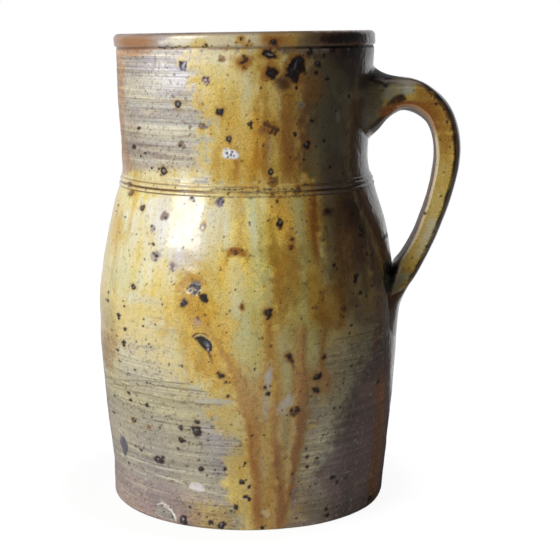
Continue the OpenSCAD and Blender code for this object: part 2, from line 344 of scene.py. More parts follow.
class Skin:
    """The glaze at many points of the wall: colour, how wet it looks, and how far it stands proud."""

    def __init__(self, side, z):
        self.side, self.z = side.ravel().astype(float), z.ravel().astype(float)
        self.u = along(self.side)
        n = len(self.side)
        self.colour = np.tile(STONE, (n, 1))
        self.wet = np.full(n, CLAY_WET)
        self.lift = np.zeros(n)
        self.mask = np.ones(n)
        # Noises that make the edges ragged: all round, in level lines, or down the wall
        self.warps = {"round": noise(self.side, self.z, 9, 9, 11, 4),
                      "level": noise(self.side, self.z, 46, 3.2, 12, 3),
                      "down": noise(self.side, self.z, 6, 34, 13, 3)}
        self.crumb = noise(self.side, self.z, 2.2, 2.6, 15, 2)

    def place(self, px, py):
        """Where the photograph's pixels lie: (distance round the wall, height)."""
        side, z = on_wall(px, py)
        return along(side), z

    def front(self, full):
        """1 up to that far round the wall, fading to 0 at the front's end."""
        return ramp(np.abs(self.u), FRONT_END, full)

    def near(self, low, high):
        """The points between two corners, each (distance round, height)."""
        return np.nonzero((self.u > low[0]) & (self.u < high[0]) & (self.z > low[1]) & (self.z < high[1]))[0]

    def within(self, outline, reach):
        """The points within reach of an outline in pixels, and how far inside it each of them lies."""
        p = rounded(np.stack(self.place(*np.array(outline, float).T), -1))
        k = self.near(p.min(0) - reach, p.max(0) + reach)
        return k, inside_by(self.u[k], self.z[k], p)

    def lay(self, k, amount, colour=None, wet=None, lift=0.0):
        """Cover the points k by that amount, 0 to 1 each, with a colour and a wetness."""
        amount = amount * self.mask[k]
        if colour is not None:
            self.colour[k] += (colour - self.colour[k]) * amount[:, None]
        if wet is not None:
            self.wet[k] += (wet - self.wet[k]) * amount
        self.lift[k] += lift * amount

    def cover(self, amount, colour=None, wet=None, lift=0.0):
        """The same for all the points."""
        self.lay(slice(None), amount, colour, wet, lift)

    def patch(self, colour, outline, edge, ragged, amount=1.0, how="round", wet=None, lift=0.0):
        """A patch with that outline in pixels, its edge and its raggedness in millimetres."""
        k, d = self.within(outline, edge + 1.6 * ragged)
        d = d + ragged * self.warps[how][k] + 0.35 * edge * self.crumb[k]
        self.lay(k, amount * ramp(d, -edge / 2, edge / 2), colour, wet, lift)

    def run(self, colour, line, edge, ragged, amount=1.0, ends=ENDS, wet=None, lift=0.0):
        """A run of glaze down the wall: (x, y, half its width), all in pixels, from its top to its foot."""
        x, y, w = np.array(line, float).T
        (u0, z), (u1, _) = self.place(x - w, y), self.place(x + w, y)
        line = np.stack([(u0 + u1) / 2, z, (u1 - u0) / 2], -1)
        self.streak(colour, line, edge, ragged, amount, ends, wet, lift)

    def streak(self, colour, line, edge, ragged, amount, ends, wet=None, lift=0.0):
        """The same, its line given on the wall: (distance round, height, half its width)."""
        u, z, half = line[np.argsort(line[:, 1])].T
        reach, (over, under) = half.max() + 5, ends
        k = self.near((u.min() - reach, z[0] - under), (u.max() + reach, z[-1] + over))
        if not len(k):
            return
        zk = self.z[k]
        mid = eased(zk, np.stack([z, u], -1)) + 0.5 * ragged * self.warps["down"][k]
        wide = np.maximum(eased(zk, np.stack([z, half], -1)), 0.2)
        rough = 0.6 * ragged * self.warps["round"][k] + 0.3 * edge * self.crumb[k]
        d = wide - np.abs(self.u[k] - mid) + rough
        fade = ramp(zk, z[0] - under, z[0] + under * 0.3) * ramp(zk, z[-1] + over, z[-1] - over * 0.3)
        self.lay(k, amount * fade * ramp(d, -edge / 2, edge / 2), colour, wet, lift)

    def tint(self, keep, wide, tall, low, high, amount, seed, where):
        """Flecks that change the glaze's red, green and blue by those factors, in cells wide by tall."""
        m = amount * where * ramp(noise(self.side, self.z, wide, tall, seed, 2), low, high)
        self.colour *= 1 + (np.array(keep) - 1) * m[:, None]

    def grain(self, colour, wide, tall, low, high, amount, seed, where):
        """Flecks of a colour; low to high says how much of the noise shows."""
        self.cover(amount * ramp(noise(self.side, self.z, wide, tall, seed, 2), low, high) * where, colour)

    def spot(self, x, y, rx, ry, colour, edge=0.8, amount=1.0, uneven=0.22, tilt=0, wet=None, lift=0.0):
        """A spot at a pixel, with its half sizes in pixels."""
        u, z = self.place(np.array([x, x - rx, x + rx]), np.array([y, y, y]))
        hu, hz = max((u[2] - u[1]) / 2, 0.2), max(ry * PIXEL_MM, 0.2)
        self.blob(u[0], z[0], hu, hz, colour, edge, amount, uneven, tilt, wet, lift)

    def blob(self, u0, z0, hu, hz, colour, edge, amount, uneven=0.22, tilt=0, wet=None, lift=0.0):
        """The same, given on the wall in millimetres."""
        reach = max(hu, hz) * 1.5 + edge
        k = self.near((u0 - reach, z0 - reach), (u0 + reach, z0 + reach))
        if not len(k):
            return
        du, dz = self.u[k] - u0, self.z[k] - z0
        c, s = math.cos(math.radians(tilt)), math.sin(math.radians(tilt))
        du, dz = (c * du + s * dz) / hu, (-s * du + c * dz) / hz
        a = np.arctan2(dz, du)
        g = np.random.default_rng(int(abs(u0 * 71 + z0 * 137)))
        wave = sum(g.uniform(0.3, 1) / n * np.sin(n * a + g.uniform(0, 6.3)) for n in (2, 3, 4, 5, 7))
        d = (1 + uneven * wave - np.hypot(du, dz)) * min(hu, hz) + 0.16 * self.crumb[k]
        amount = (amount * (1 + 0.16 * self.crumb[k])).clip(0, 1)
        self.lay(k, amount * ramp(d, -edge / 2, edge / 2), colour, wet, lift)

    def spots(self, colour, places, amount=0.9, halo=None, pit=0.0, edge=0.7):
        """Iron spots at (x, y, half size) in pixels; the larger ones have a grey middle and a painted
        highlight (glint).
        """
        for x, y, r in places:
            if halo is not None:
                self.spot(x, y, r * 1.8, r * 1.8, halo, r * 0.9, 0.5)
            if r > 1.3:
                self.spot(x, y, r * 1.2, r * 1.2, MAROON, 0.8, 0.5 * amount, 0.5)
            self.spot(x, y, r, r, colour, min(edge, 0.3 + r * 0.25), amount, 0.42, wet=0.3, lift=pit)
            if r > 1.5:
                self.spot(x + 0.1 * r, y, r * 0.5, r * 0.45, ASH_GREY, 0.5, 0.4 * amount, 0.5)
            # Painted highlight (glint) on the largest ones
            if r > 2.2:
                self.spot(x - 0.3 * r, y - 0.3 * r, r * 0.22, r * 0.3, MIST, 0.4, 0.5, 0.5)

    def crater(self, x, y, rx, ry):
        """A big iron spot at a pixel: a black ring, slate grey within, and a painted highlight (glint)."""
        self.spot(x, y, rx * 1.25, ry * 1.25, MAROON, 0.9, 0.5, 0.4)
        self.spot(x, y, rx, ry, INK, 0.8, 0.97, 0.28, wet=0.8, lift=-0.1)
        self.spot(x - 0.1 * rx, y, rx * 0.6, ry * 0.6, ASH_GREY, 0.9, 0.75, 0.5)
        self.spot(x + 0.3 * rx, y + 0.2 * ry, rx * 0.3, ry * 0.3, INK, 0.6, 0.8, 0.5)
        # Painted highlight (glint)
        self.spot(x - 0.25 * rx, y - 0.3 * ry, rx * 0.2, ry * 0.26, HIGHLIGHT_PEARL, 0.5, 0.7, 0.5)

    def rings(self, places, colour=INK):
        """Burst bubbles at (x, y, half size): a dark ring with a paler middle."""
        for x, y, r in places:
            self.spot(x, y, r * 1.7, r * 1.7, AMBER, r * 0.8, 0.3)
            self.spot(x, y, r, r, colour, 0.6, 0.9, lift=-0.1)
            self.spot(x, y - 0.2, r * 0.42, r * 0.42, MAUVE, 0.5, 0.7)


class StrapSkin(Skin):
    """The handle's skin. On its near side, u is the distance from the jug's axis."""

    def __init__(self, points, length, turn, out, across):
        x, y, z = points[..., 0], points[..., 1], points[..., 2]
        super().__init__(np.degrees(np.arctan2(x, -y)), z)
        self.x, self.length, self.turn = x.ravel(), length.ravel(), turn.ravel()
        self.out, self.across = out.ravel(), across.ravel()
        self.off = (np.hypot(x, y) - wall_r(z)).ravel()

    def turn_to_near_side(self):
        """From here on, paint only the near side."""
        self.u, self.place = self.x, self.on_near_side
        self.mask = ramp(self.across, -0.80, -0.92) * ramp(self.off, -0.5, 2.0)

    def on_near_side(self, px, py):
        """Where the photograph's pixels lie on the plane of the handle's near side: (x, height)."""
        ray = rays(px, py)
        t = (NEAR_SIDE - EYE[1]) / ray[..., 1]
        return EYE[0] + t * ray[..., 0], EYE[2] + t * ray[..., 2]


# The kinds of row in the tables below. After its kind, a row gives what that function takes, in its order.
PATCH, RUN, SPOT, SPOTS, RINGS, CRATER = Skin.patch, Skin.run, Skin.spot, Skin.spots, Skin.rings, Skin.crater


def paint(s, *tables):
    """Lay each table's rows in their order; a row says what it lays and how."""
    for table in tables:
        for kind, *row in table:
            kind(s, *row)


# The glaze, laid from the clay up. Outlines, runs and spots are in the photograph's pixels.
# What the photograph doesn't show is drawn at random, from one of its edges round to the other
BACK_GLAZES = [HONEY, CELADON, CARAMEL, PALE, AMBER, HONEY, OLIVE]
BACK_RUNS, BACK_SPOTS, RUN_POINTS = 46, 150, 6
BACK_SPOT_SIZES = [0.5, 0.6, 0.8, 1.1, 1.6]
HEM_Z = 112
ALL_ROUND, HALF_ROUND = 471, 235


def lay_back(s):
    """The back: an ash sheet, its runs, and bare clay below."""
    rng = np.random.default_rng(5)
    hem = HEM_Z + 16 * noise(s.side, s.z, 60, 400, 51) + 6 * s.warps["down"]
    s.cover(ramp(s.z, hem - 2, hem + 3), STRAW, 0.9, 0.1)
    s.cover(0.8 * ramp(s.z, 60, 18), MAUVE, 0.4)
    for _ in range(BACK_RUNS):
        u, top, foot = rng.uniform(95, 385), rng.uniform(120, 235), rng.uniform(14, 120)
        u = u - ALL_ROUND if u > HALF_ROUND else u
        colour = BACK_GLAZES[rng.integers(len(BACK_GLAZES))]
        half = rng.uniform(1.6, 4.5) * (1 - 0.45 * np.linspace(0, 1, RUN_POINTS))
        wander = np.cumsum(rng.normal(0, 1.3, RUN_POINTS))
        line = np.stack([u + wander, np.linspace(top, foot, RUN_POINTS), half], -1)
        s.streak(colour, line, 3.0, 1.4, 0.7, (12, 8), 0.9, 0.08)
    for _ in range(BACK_SPOTS):
        u, z, r = rng.uniform(110, 361), rng.uniform(8, 240), rng.choice(BACK_SPOT_SIZES)
        u = u - ALL_ROUND if u > HALF_ROUND else u
        s.blob(u, z, r, r, INK if rng.random() < 0.6 else RUST, 0.5, 0.85)


# The clay of the lower front through its thin ash: (height, red, green, blue)
CLAY_TONES = [(0, 0.60, 0.53, 0.51), (14, 0.60, 0.54, 0.52), (28, 0.63, 0.60, 0.55), (48, 0.68, 0.65, 0.57),
              (70, 0.73, 0.70, 0.56), (92, 0.79, 0.75, 0.60), (112, 0.84, 0.79, 0.62)]
# Its stains and thin drifts of ash
CLAY = [
    (PATCH, PINK, [(98, 470), (122, 488), (150, 506), (190, 520), (215, 545), (90, 545)], 12, 4, 0.45),
    (PATCH, KHAKI, [(196, 498), (250, 500), (262, 540), (205, 540)], 10, 3, 0.8),
    (PATCH, PLUM, [(90, 340), (105, 350), (110, 420), (116, 480), (90, 480)], 12, 3, 0.75),
    (PATCH, RUST, [(94, 300), (110, 312), (117, 345), (111, 372), (98, 370)], 9, 4, 0.5),
    (PATCH, KHAKI, [(296, 335), (376, 330), (372, 352), (356, 374), (346, 395), (336, 425), (316, 470),
        (306, 500), (304, 545), (292, 545)], 7, 3, 0.95),
    (PATCH, STONE, [(308, 400), (336, 400), (322, 455), (302, 500), (298, 450)], 10, 4, 0.55),
    (PATCH, PLUM, [(378, 332), (368, 354), (354, 380), (347, 404), (336, 436), (322, 462), (312, 484),
        (332, 512), (330, 545), (420, 545), (420, 332)], 13, 3.5),
    (PATCH, SMOKE, [(346, 396), (356, 410), (338, 446), (318, 472), (308, 492), (304, 480), (322, 450),
        (336, 420)], 9, 4, 0.35),
    (PATCH, SMOKE, [(356, 372), (384, 360), (384, 420), (350, 430)], 14, 4, 0.35),
    (PATCH, OLIVE, [(304, 486), (330, 488), (332, 512), (304, 520)], 10, 3, 0.45),
    (PATCH, PINK, [(326, 486), (343, 480), (345, 500), (326, 503)], 7, 3, 0.35),
    (RUN, RUST, [(380, 385, 4), (377, 440, 4), (371, 500, 4)], 6, 1.5, 0.6),
    (RUN, ORANGE, [(383, 360, 3), (381, 450, 3), (375, 500, 3)], 5, 1.5, 0.45),
]


def lay_clay(s):
    """The back, and thinly ashed clay on the lower front, which the runs leave showing."""
    lay_back(s)
    s.back = s.colour.copy(), s.wet.copy(), s.lift.copy()
    z, *tones = np.array(CLAY_TONES).T
    clay = np.stack([eased(s.z + 5 * s.warps["level"], np.stack([z, tone], -1)) for tone in tones], -1)
    s.cover(s.front(125) * ramp(s.z, 128, 104), clay, CLAY_WET)
    paint(s, CLAY)


# The sheet of yellow ash glaze on the upper belly and the front
ASH_SHEET = [
    (PATCH, STRAW, [(60, 170), (430, 170), (430, 300), (378, 318), (350, 338), (330, 342), (322, 372),
        (330, 392), (318, 400), (306, 400), (302, 440), (296, 480), (290, 545), (246, 545), (240, 505),
        (228, 498), (224, 452), (215, 426), (204, 398), (190, 366), (182, 330), (150, 300), (122, 290),
        (60, 284)], 9, 5, 1, "round", 0.92, 0.12),
    (PATCH, STRAW, [(60, 270), (200, 270), (214, 400), (200, 392), (170, 372), (140, 350), (112, 340),
        (60, 330)], 22, 8, 0.75, "level", 0.85),
    (PATCH, STONE, [(196, 424), (222, 430), (240, 440), (243, 452), (222, 456), (200, 440)], 4, 2.5, 0.8,
        "level", 0.5),
    (PATCH, CREAM, [(124, 295), (150, 297), (168, 303), (166, 310), (145, 306), (122, 301)], 4, 2, 0.7,
        "level", 0.7),
    (PATCH, CREAM, [(148, 316), (172, 319), (190, 330), (184, 338), (160, 328), (146, 322)], 4, 2, 0.6,
        "level", 0.7),
    (PATCH, PALE, [(96, 238), (140, 246), (176, 256), (176, 292), (146, 292), (96, 288)], 10, 4, 0.45),
    (PATCH, CELADON, [(104, 262), (140, 262), (150, 296), (110, 292)], 8, 3, 0.4),
    (PATCH, HONEY, [(88, 186), (124, 196), (122, 240), (110, 262), (108, 320), (86, 320)], 8, 3, 0.6),
    (PATCH, HONEY, [(108, 214), (132, 220), (130, 238), (108, 236)], 6, 3, 0.5),
    (PATCH, PALE, [(124, 200), (236, 200), (238, 232), (206, 262), (190, 276), (150, 262), (130, 240)], 9,
        3, 0.8),
    # Partly pale glaze, partly painted highlight: milk under the window's reflection on the shoulder, and
    # faint pink under its tail
    (PATCH, MILK, [(146, 190), (210, 190), (208, 226), (202, 256), (186, 270), (168, 262), (156, 236)], 9,
        3, 0.75),
    (PATCH, PINK, [(172, 250), (200, 244), (200, 268), (184, 278), (168, 272)], 7, 2, 0.28),
    (PATCH, HONEY, [(160, 312), (174, 294), (182, 276), (200, 272), (212, 284), (218, 320), (232, 350),
        (243, 392), (236, 404), (220, 398), (206, 384), (196, 372), (184, 352), (174, 334), (160, 326)], 11,
        4, 0.9),
    (PATCH, AMBER, [(176, 290), (184, 278), (198, 272), (206, 282), (206, 310), (216, 324), (204, 332),
        (190, 322), (178, 310)], 8, 4, 0.45),
    (PATCH, AMBER, [(194, 360), (206, 366), (222, 372), (236, 400), (222, 400), (208, 386)], 7, 3.5, 0.4),
    (PATCH, HONEY, [(204, 400), (232, 396), (242, 420), (236, 438), (214, 426)], 11, 4, 0.6),
    (PATCH, HONEY, [(226, 448), (246, 452), (252, 500), (250, 520), (232, 508), (222, 480)], 11, 4, 0.5),
    (PATCH, AMBER, [(188, 508), (204, 500), (232, 506), (240, 530), (200, 530)], 8, 4, 0.35),
    (PATCH, STONE, [(212, 402), (226, 402), (230, 408), (214, 408)], 3, 2, 0.6, "level"),
]
# Streaks down the belly, from left to right, with painted shadow and a painted highlight by the handle's tail
BELLY_COLUMNS = [
    (RUN, HONEY, [(205, 262, 2), (208, 284, 5), (214, 310, 6), (224, 340, 6)], 7.6, 2.4, 0.57),
    (RUN, HONEY, [(238, 192, 7), (240, 240, 6), (224, 262, 3), (214, 284, 3)], 7.6, 2.4, 0.61),
    (RUN, AMBER, [(238, 196, 2), (241, 230, 2.5), (240, 280, 2)], 5.7, 1.9, 0.29),
    (RUN, PALE, [(236, 262, 6), (238, 284, 6), (240, 312, 4)], 7.6, 2.4, 0.49),
    (RUN, CELADON, [(254, 196, 6), (255, 240, 6), (256, 282, 8), (252, 320, 12), (246, 352, 13),
        (252, 380, 9)], 5.7, 2.2, 0.70),
    (RUN, STRAW, [(268, 196, 5), (269, 240, 5), (268, 300, 3)], 5.7, 1.9, 0.74),
    (RUN, HONEY, [(276, 190, 7), (277, 230, 7), (279, 262, 8), (280, 300, 7), (280, 330, 5)], 5.7, 2.4,
        0.70),
    (RUN, AMBER, [(272, 196, 3), (274, 240, 3), (278, 270, 4), (281, 312, 3)], 5.7, 2.2, 0.49),
    (RUN, CELADON, [(298, 196, 6), (300, 226, 6), (298, 244, 4)], 5.7, 2.2, 0.70),
    (RUN, AMBER, [(290, 226, 3), (292, 250, 4), (290, 290, 3), (292, 320, 3)], 5.7, 1.9, 0.49),
    (RUN, CELADON, [(304, 252, 4), (305, 290, 5), (304, 330, 4), (306, 352, 6)], 5.7, 2.2, 0.57),
    (RUN, RUST, [(313, 190, 4), (314, 226, 4.5), (315, 250, 3)], 5.7, 2.2, 0.61),
    (RUN, AMBER, [(315, 250, 4), (318, 290, 4), (322, 322, 5)], 8, 2.6, 0.45),
    (RUN, AMBER, [(306, 192, 3), (308, 236, 3), (311, 280, 3)], 5.7, 1.9, 0.45),
    (RUN, KHAKI, [(329, 226, 5), (330, 262, 5), (328, 296, 4)], 9, 2.6, 0.45),
    (RUN, OLIVE, [(331, 190, 8), (333, 240, 8), (334, 276, 5)], 9.5, 2.4, 0.41),
    (RUN, RUST, [(339, 232, 3), (341, 256, 4), (342, 296, 5), (342, 326, 4)], 8, 2.6, 0.5),
    (RUN, BROWN, [(352, 190, 9), (357, 240, 8), (364, 290, 5)], 11.4, 2.4, 0.57),
    (RUN, KHAKI, [(358, 266, 6), (358, 292, 8), (358, 326, 9)], 12, 3, 0.6),
    (RUN, BROWN, [(355, 190, 4), (359, 207, 4), (367, 226, 5), (373, 246, 5), (378, 290, 4)], 5, 1.5, 0.65),
    (RUN, BROWN, [(372, 210, 5), (382, 262, 5), (386, 310, 5)], 9.5, 2.4, 0.61),
    (RUN, RUST, [(378, 298, 3.5), (379, 322, 3.5), (376, 346, 3)], 5.7, 1.9, 0.66),
    # Painted shadow: black between the belly and the handle's tail
    (PATCH, INK, [(385, 260), (396, 256), (396, 294), (385, 296), (382, 280)], 3, 1, 1, "round", 0),
    (PATCH, srgb(116, 86, 78), [(386.4, 297), (392, 290), (400, 290), (400, 330), (394, 352), (386.4, 345)],
        1.6, 0.4, 1, "round", 0.9),
    # Painted highlight along the tail's near edge
    (RUN, srgb(214, 188, 176), [(386.3, 298, 0.6), (385.8, 312, 0.6), (386.3, 332, 0.5)], 0.9, 0.3, 0.85),
    (PATCH, AMBER, [(324, 286), (342, 282), (348, 306), (344, 328), (332, 330), (326, 318), (316, 326),
        (318, 300)], 3, 2, 0.6),
    (RUN, AMBER, [(326, 318, 3), (322, 340, 2), (321, 358, 1.8), (324, 380, 3)], 3.8, 1.4, 0.61),
    (RUN, RUST, [(328, 322, 1.5), (323, 342, 1.2), (322, 362, 1.2)], 2.8, 1, 0.41),
]
# The long runs to the foot
LONG_RUNS = [
    (RUN, HONEY, [(268, 308, 3), (270, 340, 4), (268, 372, 3)], 5.1, 1.9, 0.72),
    (RUN, AMBER, [(268, 312, 1.6), (270, 332, 3), (267, 356, 2), (262, 388, 2)], 3.4, 1.4, 0.54),
    (RUN, CELADON, [(285, 330, 5), (284, 350, 5), (284, 372, 4)], 5.1, 2.2, 0.68),
    (RUN, CELADON, [(315, 330, 5), (314, 352, 6), (313, 370, 5)], 5.1, 2.2, 0.72),
    (RUN, CELADON, [(288, 376, 4), (285, 408, 4), (284, 432, 5), (286, 450, 3)], 4.2, 1.8, 0.81),
    (RUN, HONEY, [(274, 368, 5), (276, 392, 5), (272, 430, 5), (276, 470, 6), (280, 512, 7)], 5.1, 1.8,
        0.72),
    (RUN, MIST, [(270, 366, 4), (267, 384, 4), (266, 402, 4), (265, 420, 2.5)], 3.4, 1.7, 0.77),
    (RUN, MIST, [(290, 395, 3), (286, 402, 5), (282, 408, 3)], 3.4, 1.7, 0.63),
    (RUN, CARAMEL, [(208, 326, 2), (218, 346, 3), (230, 364, 4.5), (240, 384, 7), (246, 404, 9),
        (252, 424, 8), (254, 444, 5), (256, 466, 4.5), (258, 490, 5), (258, 524, 5)], 3.7, 1.2, 0.90, ENDS,
        0.9, 0.3),
    (RUN, AMBER, [(234, 378, 2), (240, 398, 3), (249, 424, 3.5), (252, 450, 2.5), (255, 478, 2.5),
        (257, 524, 4)], 4.1, 1.4, 0.54),
    (RUN, RUST, [(250, 430, 1.3), (252, 456, 1.3), (255, 482, 1.5), (258, 516, 3)], 2.7, 1.2, 0.41),
    (RUN, HONEY, [(264, 426, 3), (264, 460, 4), (268, 494, 5), (270, 524, 4)], 5.1, 1.4, 0.77),
    (RUN, PALE, [(262, 434, 1.6), (262, 462, 1.6), (263, 476, 1.2)], 2.7, 1, 0.54),
    (RUN, CARAMEL, [(276, 400, 2.5), (274, 430, 3), (277, 456, 4), (280, 480, 4), (281, 500, 6),
        (279, 528, 7)], 3.7, 1.2, 0.85, ENDS, 0.9, 0.2),
    (RUN, RUST, [(273, 442, 1.5), (276, 462, 2), (279, 486, 2.4), (281, 508, 4), (279, 522, 4)], 3.4, 1.4,
        0.54),
    (RUN, CARAMEL, [(303, 330, 2), (303, 352, 2.5), (303, 372, 3), (303, 394, 5), (302, 414, 6),
        (299, 436, 5), (296, 458, 4.5), (292, 480, 4), (288, 500, 4)], 3.7, 1.2, 0.90, ENDS, 0.9, 0.3),
    (RUN, RUST, [(302, 380, 1.5), (301, 404, 2.5), (301, 424, 3), (298, 446, 2.6), (295, 466, 2.6),
        (290, 492, 2)], 3.7, 1.4, 0.50),
    (RUN, AMBER, [(288, 352, 1.4), (292, 366, 1.6), (294, 388, 1.8)], 2.7, 1, 0.54),
    (PATCH, AMBER, [(318, 382), (330, 386), (330, 392), (318, 394), (310, 390)], 2, 1.2, 0.65),
    (RUN, CARAMEL, [(322, 366, 1.8), (328, 380, 2.4), (330, 390, 2)], 3.1, 1.2, 0.72),
    (PATCH, HONEY, [(234, 448), (242, 446), (246, 470), (240, 480), (232, 466)], 3, 2, 0.5),
]
# The neck: clay with finger lines at the left, ash glaze from its middle to the right, and painted shade over
# its right
NECK = [
    (PATCH, STRAW, [(60, 160), (150, 168), (205, 160), (205, 186), (60, 186)], 8, 3, 0.95, "level", 0.85),
    (PATCH, PALE, [(140, 164), (214, 160), (214, 186), (140, 186)], 7, 3, 0.7, "level"),
    (PATCH, MAUVE, [(124, 54), (180, 54), (176, 72), (124, 74)], 8, 3, 0.5, "level"),
    (PATCH, MILK, [(150, 66), (196, 62), (208, 97), (160, 96)], 12, 4, 0.75, "level"),
    (PATCH, CREAM, [(124, 78), (160, 76), (164, 104), (124, 100)], 7, 3, 0.6, "level"),
    (PATCH, CREAM, [(140, 92), (200, 92), (204, 106), (140, 104)], 7, 3, 0.6, "level"),
    (PATCH, MAUVE, [(124, 106), (200, 109), (204, 122), (124, 120)], 7, 3, 0.45, "level"),
    (PATCH, CREAM, [(124, 122), (206, 126), (206, 140), (124, 138)], 7, 3, 0.7, "level"),
    (PATCH, MAUVE, [(124, 140), (200, 143), (200, 152), (124, 154)], 7, 2.5, 0.6, "level"),
    (PATCH, CREAM, [(130, 152), (214, 151), (214, 160), (130, 162)], 5, 2.5, 0.6, "level"),
    (PATCH, MAUVE, [(126, 158), (206, 161), (200, 169), (126, 172)], 5, 2.5, 0.6, "level"),
    (PATCH, srgb(186, 142, 98), [(96, 44), (123, 46), (125, 80), (124, 130), (132, 178), (100, 178)], 14, 2,
        0.95),
    (PATCH, RUST, [(96, 44), (118, 48), (120, 90), (120, 140), (129, 176), (100, 178)], 11, 1.6, 0.6),
    (PATCH, ORANGE, [(110, 46), (150, 47), (152, 56), (112, 58)], 4, 2, 0.75, "level"),
    (PATCH, STRAW, [(185, 47), (189, 57), (176, 60), (186, 66), (194, 74), (188, 80), (200, 84), (184, 96),
        (206, 110), (198, 118), (212, 122), (195, 132), (210, 141), (196, 150), (210, 158), (200, 168),
        (212, 178), (212, 192), (430, 192), (430, 47)], 11, 2.6, 1, "level", 0.92, 0.1),
    (PATCH, PALE, [(150, 50), (236, 50), (240, 60), (206, 64), (150, 56)], 4, 2, 0.6, "level"),
    (PATCH, HONEY, [(190, 84), (206, 84), (214, 106), (222, 124), (214, 150), (212, 186), (238, 186),
        (238, 110), (222, 88), (206, 72)], 9, 3, 0.65),
    (PATCH, AMBER, [(192, 92), (204, 96), (214, 116), (208, 128), (202, 116), (190, 106)], 8, 2.4, 0.2),
    (PATCH, AMBER, [(212, 150), (218, 150), (220, 176), (212, 180)], 5, 2, 0.4),
]
NECK_COLUMNS = [
    (RUN, HONEY, [(232, 84, 4), (232, 130, 5), (234, 178, 7)], 6.8, 2.4, 0.64),
    (RUN, AMBER, [(240, 58, 9), (242, 66, 8), (245, 74, 5)], 6.8, 2.4, 0.59),
    (RUN, PALE, [(246, 74, 6), (248, 96, 7), (249, 120, 5)], 6, 2.4, 0.64),
    (RUN, AMBER, [(236, 148, 2.5), (237, 166, 3), (234, 182, 3)], 5.1, 1.8, 0.68),
    (RUN, RUST, [(236, 160, 1.4), (237, 172, 1.8)], 3.4, 1.2, 0.42),
    (RUN, HONEY, [(256, 96, 4), (258, 140, 6), (254, 180, 8)], 6, 2.4, 0.72),
    (RUN, AMBER, [(262, 60, 4), (264, 92, 5), (266, 130, 7), (264, 160, 7), (268, 182, 7)], 6, 2.4, 0.64),
    (RUN, RUST, [(264, 120, 4), (266, 146, 3.5), (264, 174, 3)], 6, 2.4, 0.38),
    (RUN, PALE, [(276, 82, 5), (278, 98, 5), (278, 118, 4)], 5.1, 2.2, 0.59),
    (RUN, MIST, [(271, 136, 1.8), (270, 150, 2.2), (270, 168, 1.6)], 3.4, 1.2, 0.47),
    (RUN, AMBER, [(288, 84, 7), (288, 120, 7), (288, 160, 9), (286, 186, 9)], 6, 2.4, 0.59),
    (RUN, RUST, [(284, 74, 4), (283, 92, 4), (286, 116, 3), (287, 160, 5), (290, 182, 6)], 6, 2.4, 0.38),
    (RUN, HONEY, [(278, 126, 3), (279, 150, 3), (280, 176, 3)], 5.1, 1.8, 0.51),
    (RUN, CELADON, [(304, 62, 3), (308, 84, 4), (302, 104, 5), (302, 118, 4)], 5.1, 2.2, 0.51),
    # Olive, smoke and brown on the neck's right and under the lip: partly dark glaze, partly painted shade on
    # the side turned from the lamp
    (PATCH, OLIVE, [(304, 50), (430, 46), (430, 192), (304, 192), (300, 150), (306, 110)], 7, 3, 0.85),
    (PATCH, SMOKE, [(340, 46), (430, 46), (430, 192), (352, 192), (345, 150), (352, 118), (344, 90)], 9, 3,
        0.8),
    (PATCH, SMOKE, [(268, 46), (372, 46), (372, 62), (330, 60), (300, 54), (268, 52)], 4, 2, 0.8, "level"),
    (RUN, RUST, [(310, 92, 2.5), (304, 110, 2.5), (302, 128, 3), (306, 146, 3)], 5.1, 1.9, 0.55),
    (RUN, KHAKI, [(322, 96, 6), (320, 130, 6), (318, 165, 5)], 8.5, 2.4, 0.38),
    (PATCH, BROWN, [(326, 48), (370, 48), (372, 70), (366, 80), (340, 66)], 5, 2.4, 0.7),
    (RUN, BROWN, [(330, 150, 5), (332, 176, 6)], 8.5, 2.4, 0.42),
    (PATCH, KHAKI, [(328, 84), (352, 92), (366, 84), (366, 96), (350, 104), (334, 100)], 4, 2, 0.35),
    (PATCH, KHAKI, [(336, 140), (350, 146), (350, 172), (338, 172)], 5, 2, 0.25),
]


def lay_neck(s):
    """The neck's clay, and its glaze over it, with painted shade at its right."""
    s.cover(ramp(s.z, SEAM_Z - 1, SEAM_Z + 2) * s.front(125), MIST, 0.5)
    paint(s, NECK, NECK_COLUMNS)


# Round the lip: its left, its yellow middle, the amber stain on it, and its dark right
LIP_LEFT, LIP_MIDDLE, LIP_STAIN, LIP_RIGHT = (-46, -62), (-46, -36, 26, 42), (4, 14, 30, 48), (26, 44)
